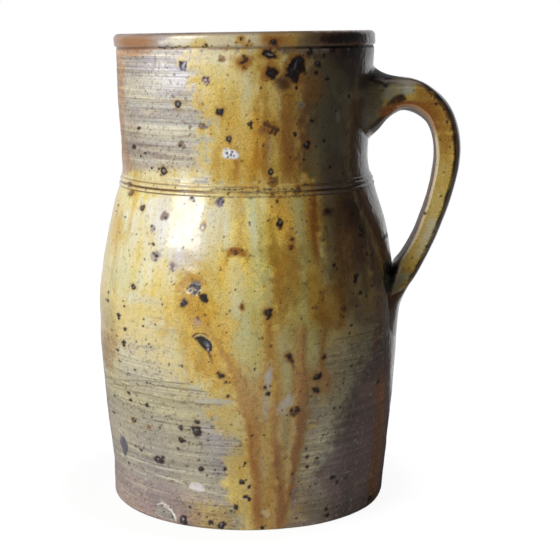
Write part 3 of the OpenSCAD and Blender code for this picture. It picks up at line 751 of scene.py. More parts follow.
# Its dark spots, then its patches and stains, with a painted highlight and a painted reflection on the lip
LIP_SPOTS = [
    (SPOTS, BROWN, [(206, 43, 1.6), (242, 36, 1.5), (249, 40, 1), (236, 41, 1), (228, 44, 0.8)], 0.9,
        AMBER),
    (SPOTS, INK, [(274, 41, 3)], 0.9, RUST),
    *[(SPOT, x, 45 + 1.2 * math.sin(x), 1.8, 1, INK, 0.6, 0.55) for x in range(160, 192, 4)],
]
RIM = [
    # Painted highlight: the window's reflection on the lip
    (PATCH, MILK, [(158, 37), (196, 35), (198, 41), (160, 43)], 2.5, 1, 0.85, "level"),
    (PATCH, HONEY, [(192, 38), (206, 37), (206, 46), (190, 47)], 3, 1.5, 0.6),
    (PATCH, RUST, [(112, 36), (128, 35), (132, 39), (112, 41)], 3, 1.5, 0.5),
    (SPOT, 241, 38, 5, 4, AMBER, 2, 0.8, 0.35),
    (SPOT, 248, 43.5, 5, 2.6, AMBER, 2, 0.7, 0.35),
    (SPOT, 273, 40, 11, 6, RUST, 4, 0.8, 0.35),
    (SPOT, 291, 40, 6, 5, AMBER, 4, 0.6, 0.35),
    (SPOTS, INK, [(273, 41, 2.6), (207, 43, 1.2), (203, 45, 1), (212, 44, 0.8), (241, 37, 1.2),
        (247, 44, 0.9)]),
    (PATCH, OLIVE, [(298, 34), (322, 33), (322, 46), (298, 46)], 4, 2, 0.6),
    (PATCH, srgb(72, 44, 32), [(318, 34), (362, 31), (368, 41), (320, 44)], 3, 1, 0.9, "level"),
    (PATCH, INK * 1.1, [(326, 34), (364, 32.5), (366, 41), (326, 43)], 2.4, 0.8, 0.75, "level"),
    (PATCH, PLUM, [(140, 31), (200, 28.5), (300, 27), (370, 27.5), (370, 29.5), (300, 29), (200, 31),
        (140, 34)], 1.2, 0.8, 0.6, "level"),
    # Painted reflection: a pale band along the rounded top at the right
    (PATCH, srgb(206, 180, 172), [(312, 29), (350, 29), (366, 30), (368, 32.5), (350, 32), (312, 32)], 1,
        0.5, 0.8, "level"),
]


def lay_lip(s):
    """The lip: orange and mauve at the left, yellow in front, dark at the right; and the groove under it."""
    lip, front = ramp(s.z, LIP_Z - 0.8, LIP_Z + 0.2), s.front(120)
    s.cover(lip * front, MAUVE, 0.75)
    s.cover(lip * ramp(s.u, *LIP_LEFT) * front * 0.95, ORANGE * 0.86)
    uneven = (0.85 + 0.2 * s.warps["level"]).clip(0, 1)
    s.cover(lip * between(s.u, *LIP_MIDDLE) * uneven, (STRAW + MILK) / 2, 0.9)
    s.cover(lip * between(s.u, *LIP_STAIN) * 0.6, AMBER)
    s.cover(lip * ramp(s.u, *LIP_RIGHT) * front * 0.9, BROWN, 0.9)
    s.cover(ramp(s.z, TOP_Z - 2.4, TOP_Z - 0.4) * 0.55 * front, PLUM, 0.7)
    s.cover(ramp(s.z, TOP_Z - 3.4, TOP_Z - 1.6) * between(s.u, -96, -84, -60, -30) * 0.4, MAUVE)
    groove = stripe(s.z, LIP_Z - 0.6, 0.9, 0.2)
    s.cover(groove * (0.45 + 0.25 * ramp(s.u, -50, -70)), BROWN)
    s.cover(groove * 0.95 * ramp(s.u, 14, 44), INK, 0.2)
    paint(s, LIP_SPOTS, RIM)


# The cordon's ridges by height, and its grooves: (height, half width, how dark)
CORDON_RIDGES = (172.9, 170.4)
CORDON_GROOVES = ((171.6, 0.75, 0.9), (174.25, 0.5, 0.6), (169.5, 0.55, 0.75))
# Its iron spots, then green flecks at random along three rows of pixels, then its green spots
CORDON_SPOTS = [
    (SPOTS, BROWN, [(131, 184, 1.8), (132, 193, 2.2), (258, 191, 1.6), (272, 194, 1.4), (297, 190, 3),
        (305, 185, 1.6), (242, 192, 1), (228, 194, 1.2), (285, 193, 1.2)], 0.9, AMBER),
]
FLECKS, FLECK_ROWS = 90, [189.0, 192.5, 197.0]
CORDON_GREEN = [
    (SPOTS, OLIVE, [(222, 189, 1), (232, 190, 1), (248, 192, 1.2), (264, 190, 1), (278, 191, 1.2)], 0.6),
]


def lay_cordon(s):
    """The cordon: yellow, with a painted highlight on its ridges at the right, brown grooves and green
    flecks.
    """
    front = s.front(120)
    band = between(s.z, CORDON_LOW - 0.6, CORDON_LOW + 0.3, CORDON_HIGH - 0.3, CORDON_HIGH + 0.4)
    s.cover(band * 0.75 * front, STRAW, 0.9)
    s.cover(band * 0.5 * ramp(s.u, -12, -28) * front, PALE)
    s.cover(band * 0.55 * between(s.u, -14, 0, 24, 40) * (0.5 + s.warps["round"]).clip(0, 1), AMBER)
    s.cover(band * 0.8 * ramp(s.u, 26, 46) * front, SMOKE)
    # Painted highlight along the ridges' tops at the right
    for middle in CORDON_RIDGES:
        s.cover(0.75 * stripe(s.z, middle, 0.45, 0.15) * between(s.u, 30, 36, 52, 66) * front, MIST)
    filled = 0.8 * between(s.u, -30, -14, 28, 40)
    for middle, half, most in CORDON_GROOVES:
        line = stripe(s.z, middle, half, half * 0.3)
        s.cover(most * line * (1 - filled) * front, BROWN)
        s.cover(0.8 * line * filled * (s.warps["round"] > 0.1), OLIVE)
    paint(s, CORDON_SPOTS)
    rng = np.random.default_rng(44)
    for _ in range(FLECKS):
        x, y = rng.uniform(200, 310), rng.choice(FLECK_ROWS) + rng.normal(0, 0.6)
        rx, ry, depth = rng.uniform(0.5, 2.0), rng.uniform(0.4, 0.9), rng.uniform(0.4, 0.9)
        s.spot(x, y, rx, ry, OLIVE * depth, 0.5, 0.75, 0.4)
    paint(s, CORDON_GREEN)


# Iron spots, burst bubbles and pits of the neck, with painted highlights on the larger ones
NECK_SPOTS = [
    (SPOT, 183, 66, 4.5, 6, PALE, 1.2, 0.5),
    (SPOT, 183, 66, 3.6, 5.6, SLATE, 0.8, 0.95, 0.35, -25, 0.8, -0.25),
    (SPOTS, INK, [(181, 62, 1.4), (185.5, 70, 1.2), (180.5, 65, 0.9), (186, 66, 0.8)], 0.85),
    # Painted highlights in the pit
    (SPOT, 183.5, 65, 1.4, 3.2, srgb(196, 194, 206), 0.6, 0.9, 0.4, -25),
    (SPOT, 184.5, 69, 1.6, 1.6, srgb(150, 150, 172), 0.6, 0.8),
    (SPOT, 185, 74.5, 3, 1.6, WHITE, 0.8, 0.7),
    (RINGS, [(178, 104, 3.4), (164, 171, 3.6), (229, 139, 3.2), (271, 172, 3)]),
    (SPOT, 206, 80, 3.8, 3.8, LILAC, 1, 0.8, 0.4),
    (SPOTS, srgb(78, 52, 66), [(204, 78, 1.3), (207, 79, 1.4), (205.5, 82, 1.1), (208.5, 82, 1.2),
        (207, 85, 1), (203, 80, 0.8), (209, 77, 0.8)], 0.85),
    # Painted highlight (glint)
    (SPOT, 206, 80, 1, 1.2, WHITE, 0.5, 0.7),
    (SPOTS, INK, [(220, 112, 3.6)], 0.9, AMBER, -0.15),
    (SPOTS, RUST, [(222, 58, 3), (220, 60, 1.6)], 0.45),
    (SPOT, 245, 62, 7, 7.5, RUST, 2.5, 0.75, 0.35),
    (SPOTS, MAROON, [(244, 56, 1.8), (246, 60, 2), (242, 62, 1.6), (248, 57, 1), (244, 67, 1.2)], 0.7),
    (SPOT, 269, 54, 10, 7.5, AMBER * 0.9, 2.5, 0.8, 0.4),
    (SPOT, 269, 54, 6.4, 4.4, MAROON, 1, 0.9, 0.4, -10),
    (SPOT, 269, 54, 5.8, 3.8, INK, 0.7, 0.95, 0.4, -10, 0.7, -0.1),
    # Painted highlight on the black blot
    (SPOT, 269.5, 54, 2.8, 0.7, srgb(170, 166, 156), 0.6, 0.75, 0.6, -15),
    (SPOTS, MAROON, [(265, 49, 1.6), (270, 48, 1.4), (275, 51, 1.2)], 0.6),
    (SPOT, 271, 71, 11, 10, AMBER, 4, 0.6, 0.4),
    (SPOT, 270, 71, 8.5, 8, RUST, 3, 0.75, 0.4),
    (SPOT, 272, 73, 6, 5.2, MAROON, 1.2, 0.9, 0.5),
    *[(SPOT, x, y, r, r, INK, 0.7, 0.95, 0.6, 0, 0.6, -0.06)
      for x, y, r in ((269, 73, 3.4), (274, 71, 3.2), (272, 76, 3), (277, 72, 1.8))],
    # Painted highlight on the black blot
    (SPOT, 270, 73.5, 2.4, 0.7, srgb(84, 90, 104), 0.7, 0.8, 0.6, 20),
    (SPOT, 295, 68, 13, 14, RUST, 4, 0.8, 0.3),
    (SPOT, 283, 82, 8, 8, BROWN, 4, 0.55, 0.3),
    (SPOT, 284, 84, 7, 5, MAROON, 3, 0.5, 0.5),
    (SPOT, 296, 68, 9.2, 10.5, MAROON, 1.6, 0.9, 0.6, 25, 0.5),
    *[(SPOT, x, y, rx, ry, INK, 0.8, 0.95, 0.6, 0, 0.6, -0.08)
      for x, y, rx, ry in ((299, 62, 6.2, 4.6), (293, 68, 5.6, 5.4), (291, 74, 4.4, 3.8), (302, 68, 3.6, 3.4),
                           (296, 74, 4.2, 3.4))],
    # Painted highlights on the big black blot
    (SPOT, 295.5, 65, 1.2, 4, srgb(92, 98, 112), 0.8, 0.85, 0.6, -20),
    (SPOT, 291.5, 72, 0.9, 2.2, srgb(70, 76, 90), 0.8, 0.8, 0.6, 15),
    (SPOT, 300, 61, 0.8, 1.4, srgb(64, 70, 84), 0.8, 0.7, 0.6),
    (SPOTS, AMBER, [(304, 74, 1.6), (287, 66, 1.2)], 0.8),
    (SPOTS, INK, [(310, 51, 2.6), (332, 50, 2.4), (318, 64, 2.6), (324, 55, 1.6), (316, 73, 1.6),
        (327, 79, 1.8), (349, 96, 1.4), (313, 121, 1.2), (324, 141, 1.4), (304, 160, 1.2), (330, 167, 1.2),
        (295, 134, 1.8), (296, 88, 1.4), (261, 88, 1), (266, 81, 0.9), (311, 121, 1.4), (250, 124, 2.4),
        (251, 128, 1.2)]),
    (SPOTS, INK, [(307, 145, 3.2)], 0.9, RUST),
    (SPOTS, BROWN, [(305, 73, 2), (228, 75, 1), (203, 104, 1.2)], 0.6),
    (SPOTS, MIST, [(302, 105, 3.2), (300, 104, 1.8)], 0.5),
    (SPOT, 230, 154, 7.4, 5.6, srgb(236, 234, 240), 1.2, 0.97, 0.4, 0, 0.7, 0.12),
    (SPOT, 230, 154, 5.6, 4.2, srgb(252, 252, 255), 1.2, 0.9, 0.5),
    (SPOTS, srgb(44, 44, 78), [(227, 153, 1.2), (231, 155, 1.1), (228, 157, 0.9), (232, 152, 0.8),
        (234, 156, 0.7)]),
    (SPOT, 269, 128, 10.5, 8.5, AMBER, 4, 0.7, 0.4),
    (SPOT, 269, 128, 8, 6.5, RUST, 3, 0.8, 0.4),
    (SPOTS, MAROON, [(265, 124, 1.8), (269, 126, 2), (273, 128, 2), (277, 130, 2), (271, 132, 1.8),
        (264, 129, 1.2), (275, 134, 1.4), (268, 121, 1.2), (261, 127, 1), (267, 131, 1)], 0.55),
    (SPOTS, AMBER, [(273, 182, 4.5)], 0.9, None, 0, 2),
    (SPOTS, RUST, [(273, 181, 3.4)], 0.6, None, 0, 2),
    (SPOTS, INK, [(161, 175, 1), (159, 169, 0.8), (152, 168, 0.8), (139, 128, 1.4), (134, 147, 1.8),
        (145, 153, 1.2), (141, 156, 1), (197, 171, 0.9), (157, 172, 0.7), (150, 171, 0.6), (180, 145, 1.6)],
        0.85),
    (SPOTS, OLIVE, [(181, 143, 2.4), (184, 147, 1.6)], 0.6),
    (SPOTS, PLUM, [(202, 126, 2.6), (206, 127, 1.6), (190, 127, 1.4)], 0.7),
    # Painted highlight on the dark right of the neck
    (SPOT, 338, 117, 2.6, 5, srgb(150, 150, 140), 1.2, 0.6),
]
# Those of the upper belly
BELLY_SPOTS = [
    (RINGS, [(143, 208, 2.6), (134, 287, 2.4), (134, 420, 2.2)]),
    (SPOT, 165, 216, 3.6, 4.4, PLUM, 1.4, 0.8, 0.4),
    (SPOT, 153, 229, 3, 3, MAUVE, 0.9, 0.8, 0.5),
    (SPOTS, INK, [(152, 226, 1), (155, 229, 0.9), (166, 218, 1.3)], 0.7),
    (SPOT, 192, 199, 3.4, 3.4, MAUVE, 1.2, 0.8, 0.4),
    (SPOTS, INK, [(192, 198, 1.4), (194, 201, 1)], 0.8),
    (SPOT, 156, 256, 5.5, 4.5, MAUVE, 1.8, 0.8, 0.4),
    (SPOTS, INK, [(154, 253, 1.2), (157, 256, 1.4), (154, 244, 1.4), (156, 260, 0.9)], 0.75),
    (SPOT, 173, 266, 5, 4, MAUVE, 1.8, 0.8, 0.4),
    (SPOTS, PLUM, [(173, 266, 2), (172, 281, 1.2), (173, 270, 1)], 0.85),
    (SPOT, 173, 278, 4.5, 3.2, WHITE, 1.6, 0.35),
    (SPOT, 220, 202, 5, 3.6, srgb(120, 110, 134), 1, 0.85, 0.4),
    (SPOTS, INK, [(218, 202, 1.4), (223, 202, 1.2), (220, 199, 1)], 0.8),
    (SPOT, 203, 226, 4, 4.5, AMBER, 1.6, 0.45, 0.3),
    (SPOT, 203, 227, 3, 3, PLUM, 0.8, 0.75, 0.5),
    (SPOT, 203, 228, 1.5, 1.3, WHITE, 0.5, 0.85),
    (RUN, BROWN, [(205, 206, 0.4), (203, 216, 0.5), (200, 222, 0.5)], 0.7, 0.3, 0.5, (1, 1)),
    (RUN, AMBER, [(201, 222, 0.5), (198, 232, 0.5), (193, 244, 0.4)], 0.9, 0.3, 0.4, (1, 2)),
    (SPOTS, RUST, [(214, 227, 0.9)], 0.7),
    (SPOT, 236, 252, 10, 4, AMBER, 2.2, 0.55, 0.3),
    (RUN, AMBER, [(227, 250, 1), (226, 262, 1.2)], 1.6, 0.6, 0.6, (1, 2)),
    (RUN, AMBER, [(246, 250, 1), (247, 262, 1.2)], 1.6, 0.6, 0.6, (1, 2)),
    (SPOT, 236, 251, 6, 2.4, RUST, 1.6, 0.8, 0.4),
    (SPOTS, BROWN, [(236, 253, 1.8), (231, 249, 1.2), (242, 250, 1.2)], 0.75),
    (SPOTS, INK, [(119, 205, 0.9), (126, 217, 0.7), (117, 211, 0.7), (120, 232, 0.6), (137, 234, 0.6),
        (145, 259, 0.8), (140, 272, 0.6), (134, 284, 0.6), (147, 284, 0.8), (114, 240, 0.6),
        (108, 300, 1.4), (109, 292, 0.8), (124, 301, 0.8), (147, 301, 0.7)], 0.8),
    (SPOTS, BROWN, [(280, 226, 2.6)], 0.9, AMBER),
    (SPOT, 279.5, 223, 3.6, 3.8, INK, 0.8, 0.9, 0.4, 0, 0.9, -0.1),
    (SPOT, 280, 222, 1.6, 1.4, OLIVE, 0.5, 0.9),
    (SPOTS, BROWN, [(277, 201, 1.3), (292, 239, 1.6), (291, 247, 2.2)], 0.9, RUST),
    (SPOT, 328, 212, 6, 4, BROWN, 1.8, 0.9, 0.3),
    (SPOT, 327, 211, 3, 2, INK, 1.2, 0.8, 0.3),
    (SPOTS, INK, [(361, 228, 3), (362, 234, 2.6), (352, 214, 1.8), (334, 265, 1.4), (372, 254, 1.6),
        (367, 254, 1.3), (362, 247, 1.2), (323, 240, 1), (356, 276, 2.4), (355, 281, 1.8), (312, 308, 1.1),
        (386, 236, 2.4), (390, 242, 1.2), (353, 293, 1), (360, 293, 1.6), (366, 296, 0.9), (372, 286, 1.2),
        (351, 325, 1.3), (349, 333, 1.2), (366, 320, 0.9), (343, 317, 1.2), (356, 306, 1.2)], 0.85),
    (PATCH, AMBER, [(176, 294), (182, 280), (192, 274), (200, 274), (206, 286), (200, 284), (192, 282),
        (184, 290)], 1.8, 1, 0.6),
    (RUN, RUST, [(198, 273, 0.8), (202, 276, 0.8), (206, 284, 0.7)], 1, 0.4, 0.55, (1, 1)),
    (SPOT, 195, 288, 6.5, 6.5, srgb(120, 114, 112), 1.2, 0.7, 0.5, 0, 0.8, -0.15),
    (SPOTS, srgb(58, 58, 76), [(193, 285, 2.4), (198, 287, 2.6), (195, 292, 2.2), (199, 293, 1.6),
        (191, 290, 1)], 0.85),
    # Painted highlights (glints) on the spot
    (SPOTS, WHITE, [(196, 290, 0.9), (193, 288, 0.7)], 0.7),
    (SPOT, 204, 298, 4, 4.4, INK, 0.8, 0.95, 0.3, 0, 0.9, -0.1),
    (SPOTS, INK, [(184, 303, 3.2)], 0.9, AMBER, -0.1),
    (SPOTS, INK, [(119, 315, 1.8), (119, 318, 1.4), (125, 329, 1.6), (124, 342, 1.8), (124, 345, 1.4),
        (118, 350, 1.4), (120, 361, 1.1), (149, 344, 1.2), (151, 347, 1), (143, 326, 0.9), (144, 319, 0.9),
        (125, 306, 0.9), (117, 336, 0.9), (131, 352, 0.8), (135, 370, 1.2), (147, 383, 1.2), (150, 383, 1),
        (129, 393, 1.4), (131, 400, 1.4), (147, 405, 1.8), (128, 381, 0.8), (160, 372, 0.8),
        (182, 366, 1.2), (192, 382, 1), (146, 340, 0.7), (112, 330, 0.8), (114, 322, 0.7)], 0.85),
    (SPOT, 198, 322, 4.2, 4.4, PINK, 1.8, 0.65, 0.3),
    (SPOTS, BROWN, [(198, 318, 1.4)], 0.85),
    (SPOTS, RUST, [(242, 307, 2.2)], 0.9, AMBER),
    (SPOTS, BROWN, [(242, 307, 1.2)]),
]
# The big burst bubble at the left of the main run: brown and cream arcs round a black hollow, with a painted
# highlight in it
BURST_BUBBLE = [
    (PATCH, MAROON * 1.6, [(191.5, 336), (196, 332.3), (204, 332.3), (210, 336), (209, 337.5), (203, 334),
        (197, 334), (193, 338)], 0.8, 0.5, 0.85),
    (PATCH, CREAM, [(194, 336.5), (198, 334.2), (204, 334.3), (210, 338), (214.5, 346), (212.5, 348),
        (208, 339.5), (203, 336), (197, 336.5)], 0.7, 0.4, 0.55),
    (PATCH, INK, [(194, 338.5), (198, 335.8), (204, 336), (209, 339), (204, 338.4), (199, 338), (196, 340)],
        0.7, 0.4, 0.85),
    (PATCH, CREAM, [(196.5, 341), (199, 338.5), (206, 338.5), (211, 341), (214, 348), (210.5, 352.5),
        (205, 351), (199.5, 345.5)], 0.8, 0.4, 0.5),
    (PATCH, INK, [(196, 340), (200, 337.2), (206.5, 338), (211, 342), (213.3, 348), (210.5, 352.3),
        (205, 350.6), (200.5, 345.6)], 0.7, 0.5, 1, "round", 0.9, -0.4),
    (PATCH, STEEL, [(203.5, 341), (206, 340.5), (209.5, 345), (208.5, 348.5), (205.5, 347)], 1,
        0.6, 0.8),
    (PATCH, srgb(160, 164, 174), [(206, 344.3), (208, 344), (208.8, 347), (206.6, 348.2)], 0.7, 0.4, 0.75),
    # Painted highlight (glint)
    (SPOT, 207.6, 349.6, 1.2, 0.8, WHITE, 0.4, 0.9, 0.3),
    (RUN, BROWN, [(208, 352, 1.2), (210, 356, 1.6), (211, 361, 0.7)], 1.2, 0.9, 0.8, (1, 2)),
]
# Spots on and beside the long runs
RUN_SPOTS = [
    (SPOTS, INK, [(268, 313, 3.4)], 0.9, RUST, -0.1),
    (SPOTS, INK, [(268, 318, 1.8), (271, 310, 1.6)]),
    (SPOTS, RUST, [(315, 308, 1.8), (343, 308, 2.4), (341, 316, 2)], 0.85),
    (SPOTS, BROWN, [(343, 309, 1.8), (271, 346, 1.2), (289, 357, 3), (324, 357, 2.2), (262, 338, 0.8),
        (292, 361, 1.6)], 0.9, RUST),
    (SPOTS, INK, [(289, 357, 1.6), (324, 357, 1.3)]),
]
# Those of the lower belly and the foot
LOWER_SPOTS = [
    (SPOTS, INK, [(221, 376, 2.4), (226, 382, 1.2), (218, 373, 1.2), (228, 396, 1.4)], 0.9, RUST),
    (SPOTS, BROWN, [(198, 394, 0.9), (206, 395, 0.9), (210, 395, 0.9), (201, 393, 0.7)], 0.6),
    (PATCH, MIST, [(196, 399), (214, 398), (233, 400), (234, 404), (214, 405), (194, 403)], 1.6, 1, 0.8,
        "level"),
    (RINGS, [(149, 427, 2)], BROWN),
    (SPOTS, BROWN, [(147, 424, 0.8), (151, 430, 1), (146, 431, 0.7), (152, 425, 0.7)], 0.7),
    (SPOTS, INK, [(166, 416, 1), (169, 416, 0.8), (172, 419, 0.8), (197, 422, 2.4), (208, 440, 0.8),
        (193, 444, 0.7), (197, 445, 0.7), (200, 444, 0.7), (178, 448, 1.2), (189, 430, 1.2),
        (160, 428, 0.8), (185, 437, 0.8), (114, 412, 1.3), (115, 396, 0.9), (136, 446, 1), (141, 450, 1.4),
        (139, 446, 0.8), (144, 448, 0.8), (129, 463, 1.2), (246, 440, 0.8), (152, 417, 0.7),
        (174, 402, 0.6)], 0.85),
    (SPOTS, INK, [(181, 428, 2.4), (182, 440, 2.8)], 0.9, None, 0.1),
    (CRATER, 197, 431, 5, 4.2),
    (SPOT, 124, 445, 3.6, 9, srgb(72, 68, 84), 1.6, 0.85, 0.3, -22, 0.7, -0.15),
    (SPOTS, INK, [(268, 394, 2.2), (265, 387, 1.6), (270, 386, 1), (267, 384, 0.8), (264, 435, 1)]),
    (SPOT, 268, 378, 4, 7, MIST, 1.6, 0.7, 0.3, -15),
    (SPOTS, INK, [(317, 377, 3.2), (316, 390, 2.8)], 0.9, RUST),
    (SPOTS, INK, [(320, 375, 2)]),
    (SPOT, 294, 411, 5, 5, RUST, 1.8, 0.7, 0.4),
    (SPOTS, BROWN, [(294, 413, 3.4)], 0.75),
    (SPOTS, INK, [(297, 409, 2.4), (291, 410, 1.6)]),
    (SPOTS, INK, [(327, 385, 0.9), (334, 408, 1.1), (340, 407, 1.1), (323, 435, 1.2), (328, 433, 0.9),
        (335, 432, 0.9), (351, 366, 1.3), (343, 383, 0.8), (306, 449, 1.2), (307, 457, 1.6),
        (307, 467, 1.6), (317, 458, 1.4), (333, 477, 2.2), (337, 482, 1.6), (346, 478, 1.2),
        (326, 515, 1.8), (326, 509, 1.4), (368, 498, 1.8), (378, 382, 1.6), (352, 349, 1), (296, 518, 1.3),
        (292, 474, 1.3)], 0.8),
    # Painted highlights (glints)
    (SPOTS, WHITE, [(360, 427, 0.7), (326, 420, 0.5), (355, 440, 0.5)], 0.7),
    (CRATER, 159, 460, 4, 3.8),
    (SPOTS, INK, [(163, 457, 1.6), (199, 460, 1.1), (201, 469, 2.4), (215, 470, 0.9), (225, 469, 1.8),
        (240, 468, 1), (245, 463, 1.2), (244, 466, 1), (242, 482, 2.4), (249, 487, 1.8), (245, 497, 2),
        (249, 499, 1.8), (236, 507, 2.3), (190, 507, 1.4), (199, 514, 1.2), (207, 517, 1.2),
        (211, 522, 2.6), (231, 511, 1), (234, 512, 0.9), (262, 528, 1.8), (246, 480, 1)]),
    (CRATER, 222, 525, 3.6, 3.2),
    (CRATER, 184, 520, 3.2, 4.6),
    (PATCH, srgb(236, 230, 232), [(189, 485), (195, 483.3), (203, 486.5), (204, 490), (197, 491.5),
        (192, 488.5)], 1.6, 1, 0.9, "level"),
    (SPOT, 266, 513, 4, 4, PALE, 1.6, 0.6, 0.4),
    (SPOTS, PINK, [(338, 487, 2.4), (334, 495, 2), (330, 490, 1.4)], 0.5),
]


# Fine lines: pale scratches with how strong each is, and dark throwing lines
SCRATCHES = [
    ([(116, 450), (125, 455), (140, 461), (160, 467), (185, 471), (200, 473)], 0.95),
    ([(145, 470), (155, 474), (170, 478), (185, 484), (194, 488)], 0.9),
    ([(204, 491), (222, 495), (234, 498), (246, 499)], 0.85),
]
DARK_LINES = [
    [(104, 384), (160, 386), (205, 391)],
    [(104, 377), (150, 381), (190, 384)],
    [(112, 386), (140, 393), (165, 399), (190, 403), (222, 404)],
    [(334, 340), (352, 336), (372, 330)],
    [(344, 372), (358, 362), (376, 352)],
]
# The chip at the foot, the pale cracks round it and its spots
CHIP = [
    (PATCH, srgb(150, 146, 138), [(156, 503), (166, 505), (174, 511), (178, 522), (164, 518), (153, 512)],
        1, 0.6, 0.95, "round", 0.2, -0.9),
    (PATCH, srgb(228, 216, 212), [(160, 506), (165, 503.5), (171, 506), (173, 511), (169, 511),
        (165, 508.5)], 0.9, 0.4, 0.9),
]
CRACKS = [[(157, 505), (162, 503), (168, 506), (170, 510)], [(169, 509), (172, 513), (176, 521)]]
CHIP_SPOTS = [
    (SPOTS, INK, [(161, 506, 0.7), (170, 508, 0.7), (172, 517, 0.8), (163, 512, 0.7)], 0.85),
]


def beside_line(s, line, sway, wide, seed):
    """The points near a thin swaying line through those pixels, and how far above or below it each lies."""
    u, z = s.place(*np.array(line, float).T)
    k = s.near((u.min(), z.min() - 3), (u.max(), z.max() + 3))
    return k, np.abs(s.z[k] - np.interp(s.u[k], u, z) - sway * noise(s.side[k], s.z[k], wide, 90, seed))


def lines_and_foot(s):
    """Scratches, throwing lines and the chip at the foot."""
    for line, amount in SCRATCHES:
        k, off = beside_line(s, line, 0.35, 7, 61)
        broken = (0.55 + 0.45 * noise(s.side[k], s.z[k], 4, 60, 62)).clip(0.1, 1)
        s.lay(k, amount * broken * ramp(off, 0.62, 0.12), SCRATCH, 0.6, -0.03)
    for line in DARK_LINES:
        k, off = beside_line(s, line, 0.3, 12, 63)
        s.lay(k, 0.55 * ramp(off, 0.55, 0.1), OLIVE, 0.4, -0.1)
    paint(s, CHIP)
    for line in CRACKS:
        for u, z in spaced(np.stack(s.place(*np.array(line, float).T), -1), 0.5)[:-1]:
            s.blob(u, z, 0.55, 0.5, WHITE, 0.4, 0.9)
    paint(s, CHIP_SPOTS)


def textures(s):
    """Flecks and streaks finer than the patches."""
    wet = ramp(s.wet, 0.6, 0.85)
    dry, right = 1 - wet, ramp(s.u, 35, 60)
    calm = wet * (1 - 0.75 * ramp(s.z, 176, 180) * ramp(s.u, 15, 38))
    s.tint((1.02, 0.96, 0.72), 3.0, 16, 0.05, 0.9, 0.55, 71, calm)
    s.tint((1.05, 1.08, 1.22), 2.6, 13, 0.1, 1.0, 0.55, 72, calm)
    s.tint((0.90, 0.80, 0.55), 6, 30, 0.25, 1.0, 0.5, 73, calm)
    s.tint((0.97, 1.02, 1.12), 8, 34, 0.15, 1.0, 0.6, 74, calm)
    s.tint((0.72, 0.70, 0.66), 1.3, 1.4, 0.40, 1.1, 0.5, 75, wet)
    s.tint((0.78, 0.72, 0.66), 7, 6, 0.15, 0.9, 0.5, 80, wet * right)
    s.tint((1.12, 1.14, 1.20), 5, 6, 0.15, 0.9, 0.5, 81, wet * right)
    lined = dry * (1 - 0.7 * ramp(s.u, 15, 50)) * (1 - 0.35 * ramp(s.z, 110, 90))
    s.grain(PALE, 26, 1.3, 0.1, 0.9, 0.32, 76, lined)
    s.grain(PLUM, 30, 1.2, 0.15, 1.0, 0.40, 77, lined)
    s.grain(SMOKE, 1.3, 1.0, 0.35, 0.95, 0.55, 78, dry)
    s.grain(PALE, 1.3, 1.0, 0.40, 1.0, 0.45, 79, dry)


def right_side(s):
    """Past the lamp's reach the glaze is pitted like orange peel, and it shines to the foot."""
    s.lift += 0.045 * between(s.side, 38, 58, 120, 150) * noise(s.side, s.z, 1.7, 1.7, 95, 1)
    s.wet = np.maximum(s.wet, 0.92 * between(s.side, 69, 75, 120, 150) * ramp(s.z, 140, 128))


def box(left, top, right, bottom):
    """The outline of a box of pixels."""
    return [(left, top), (right, top), (right, bottom), (left, bottom)]


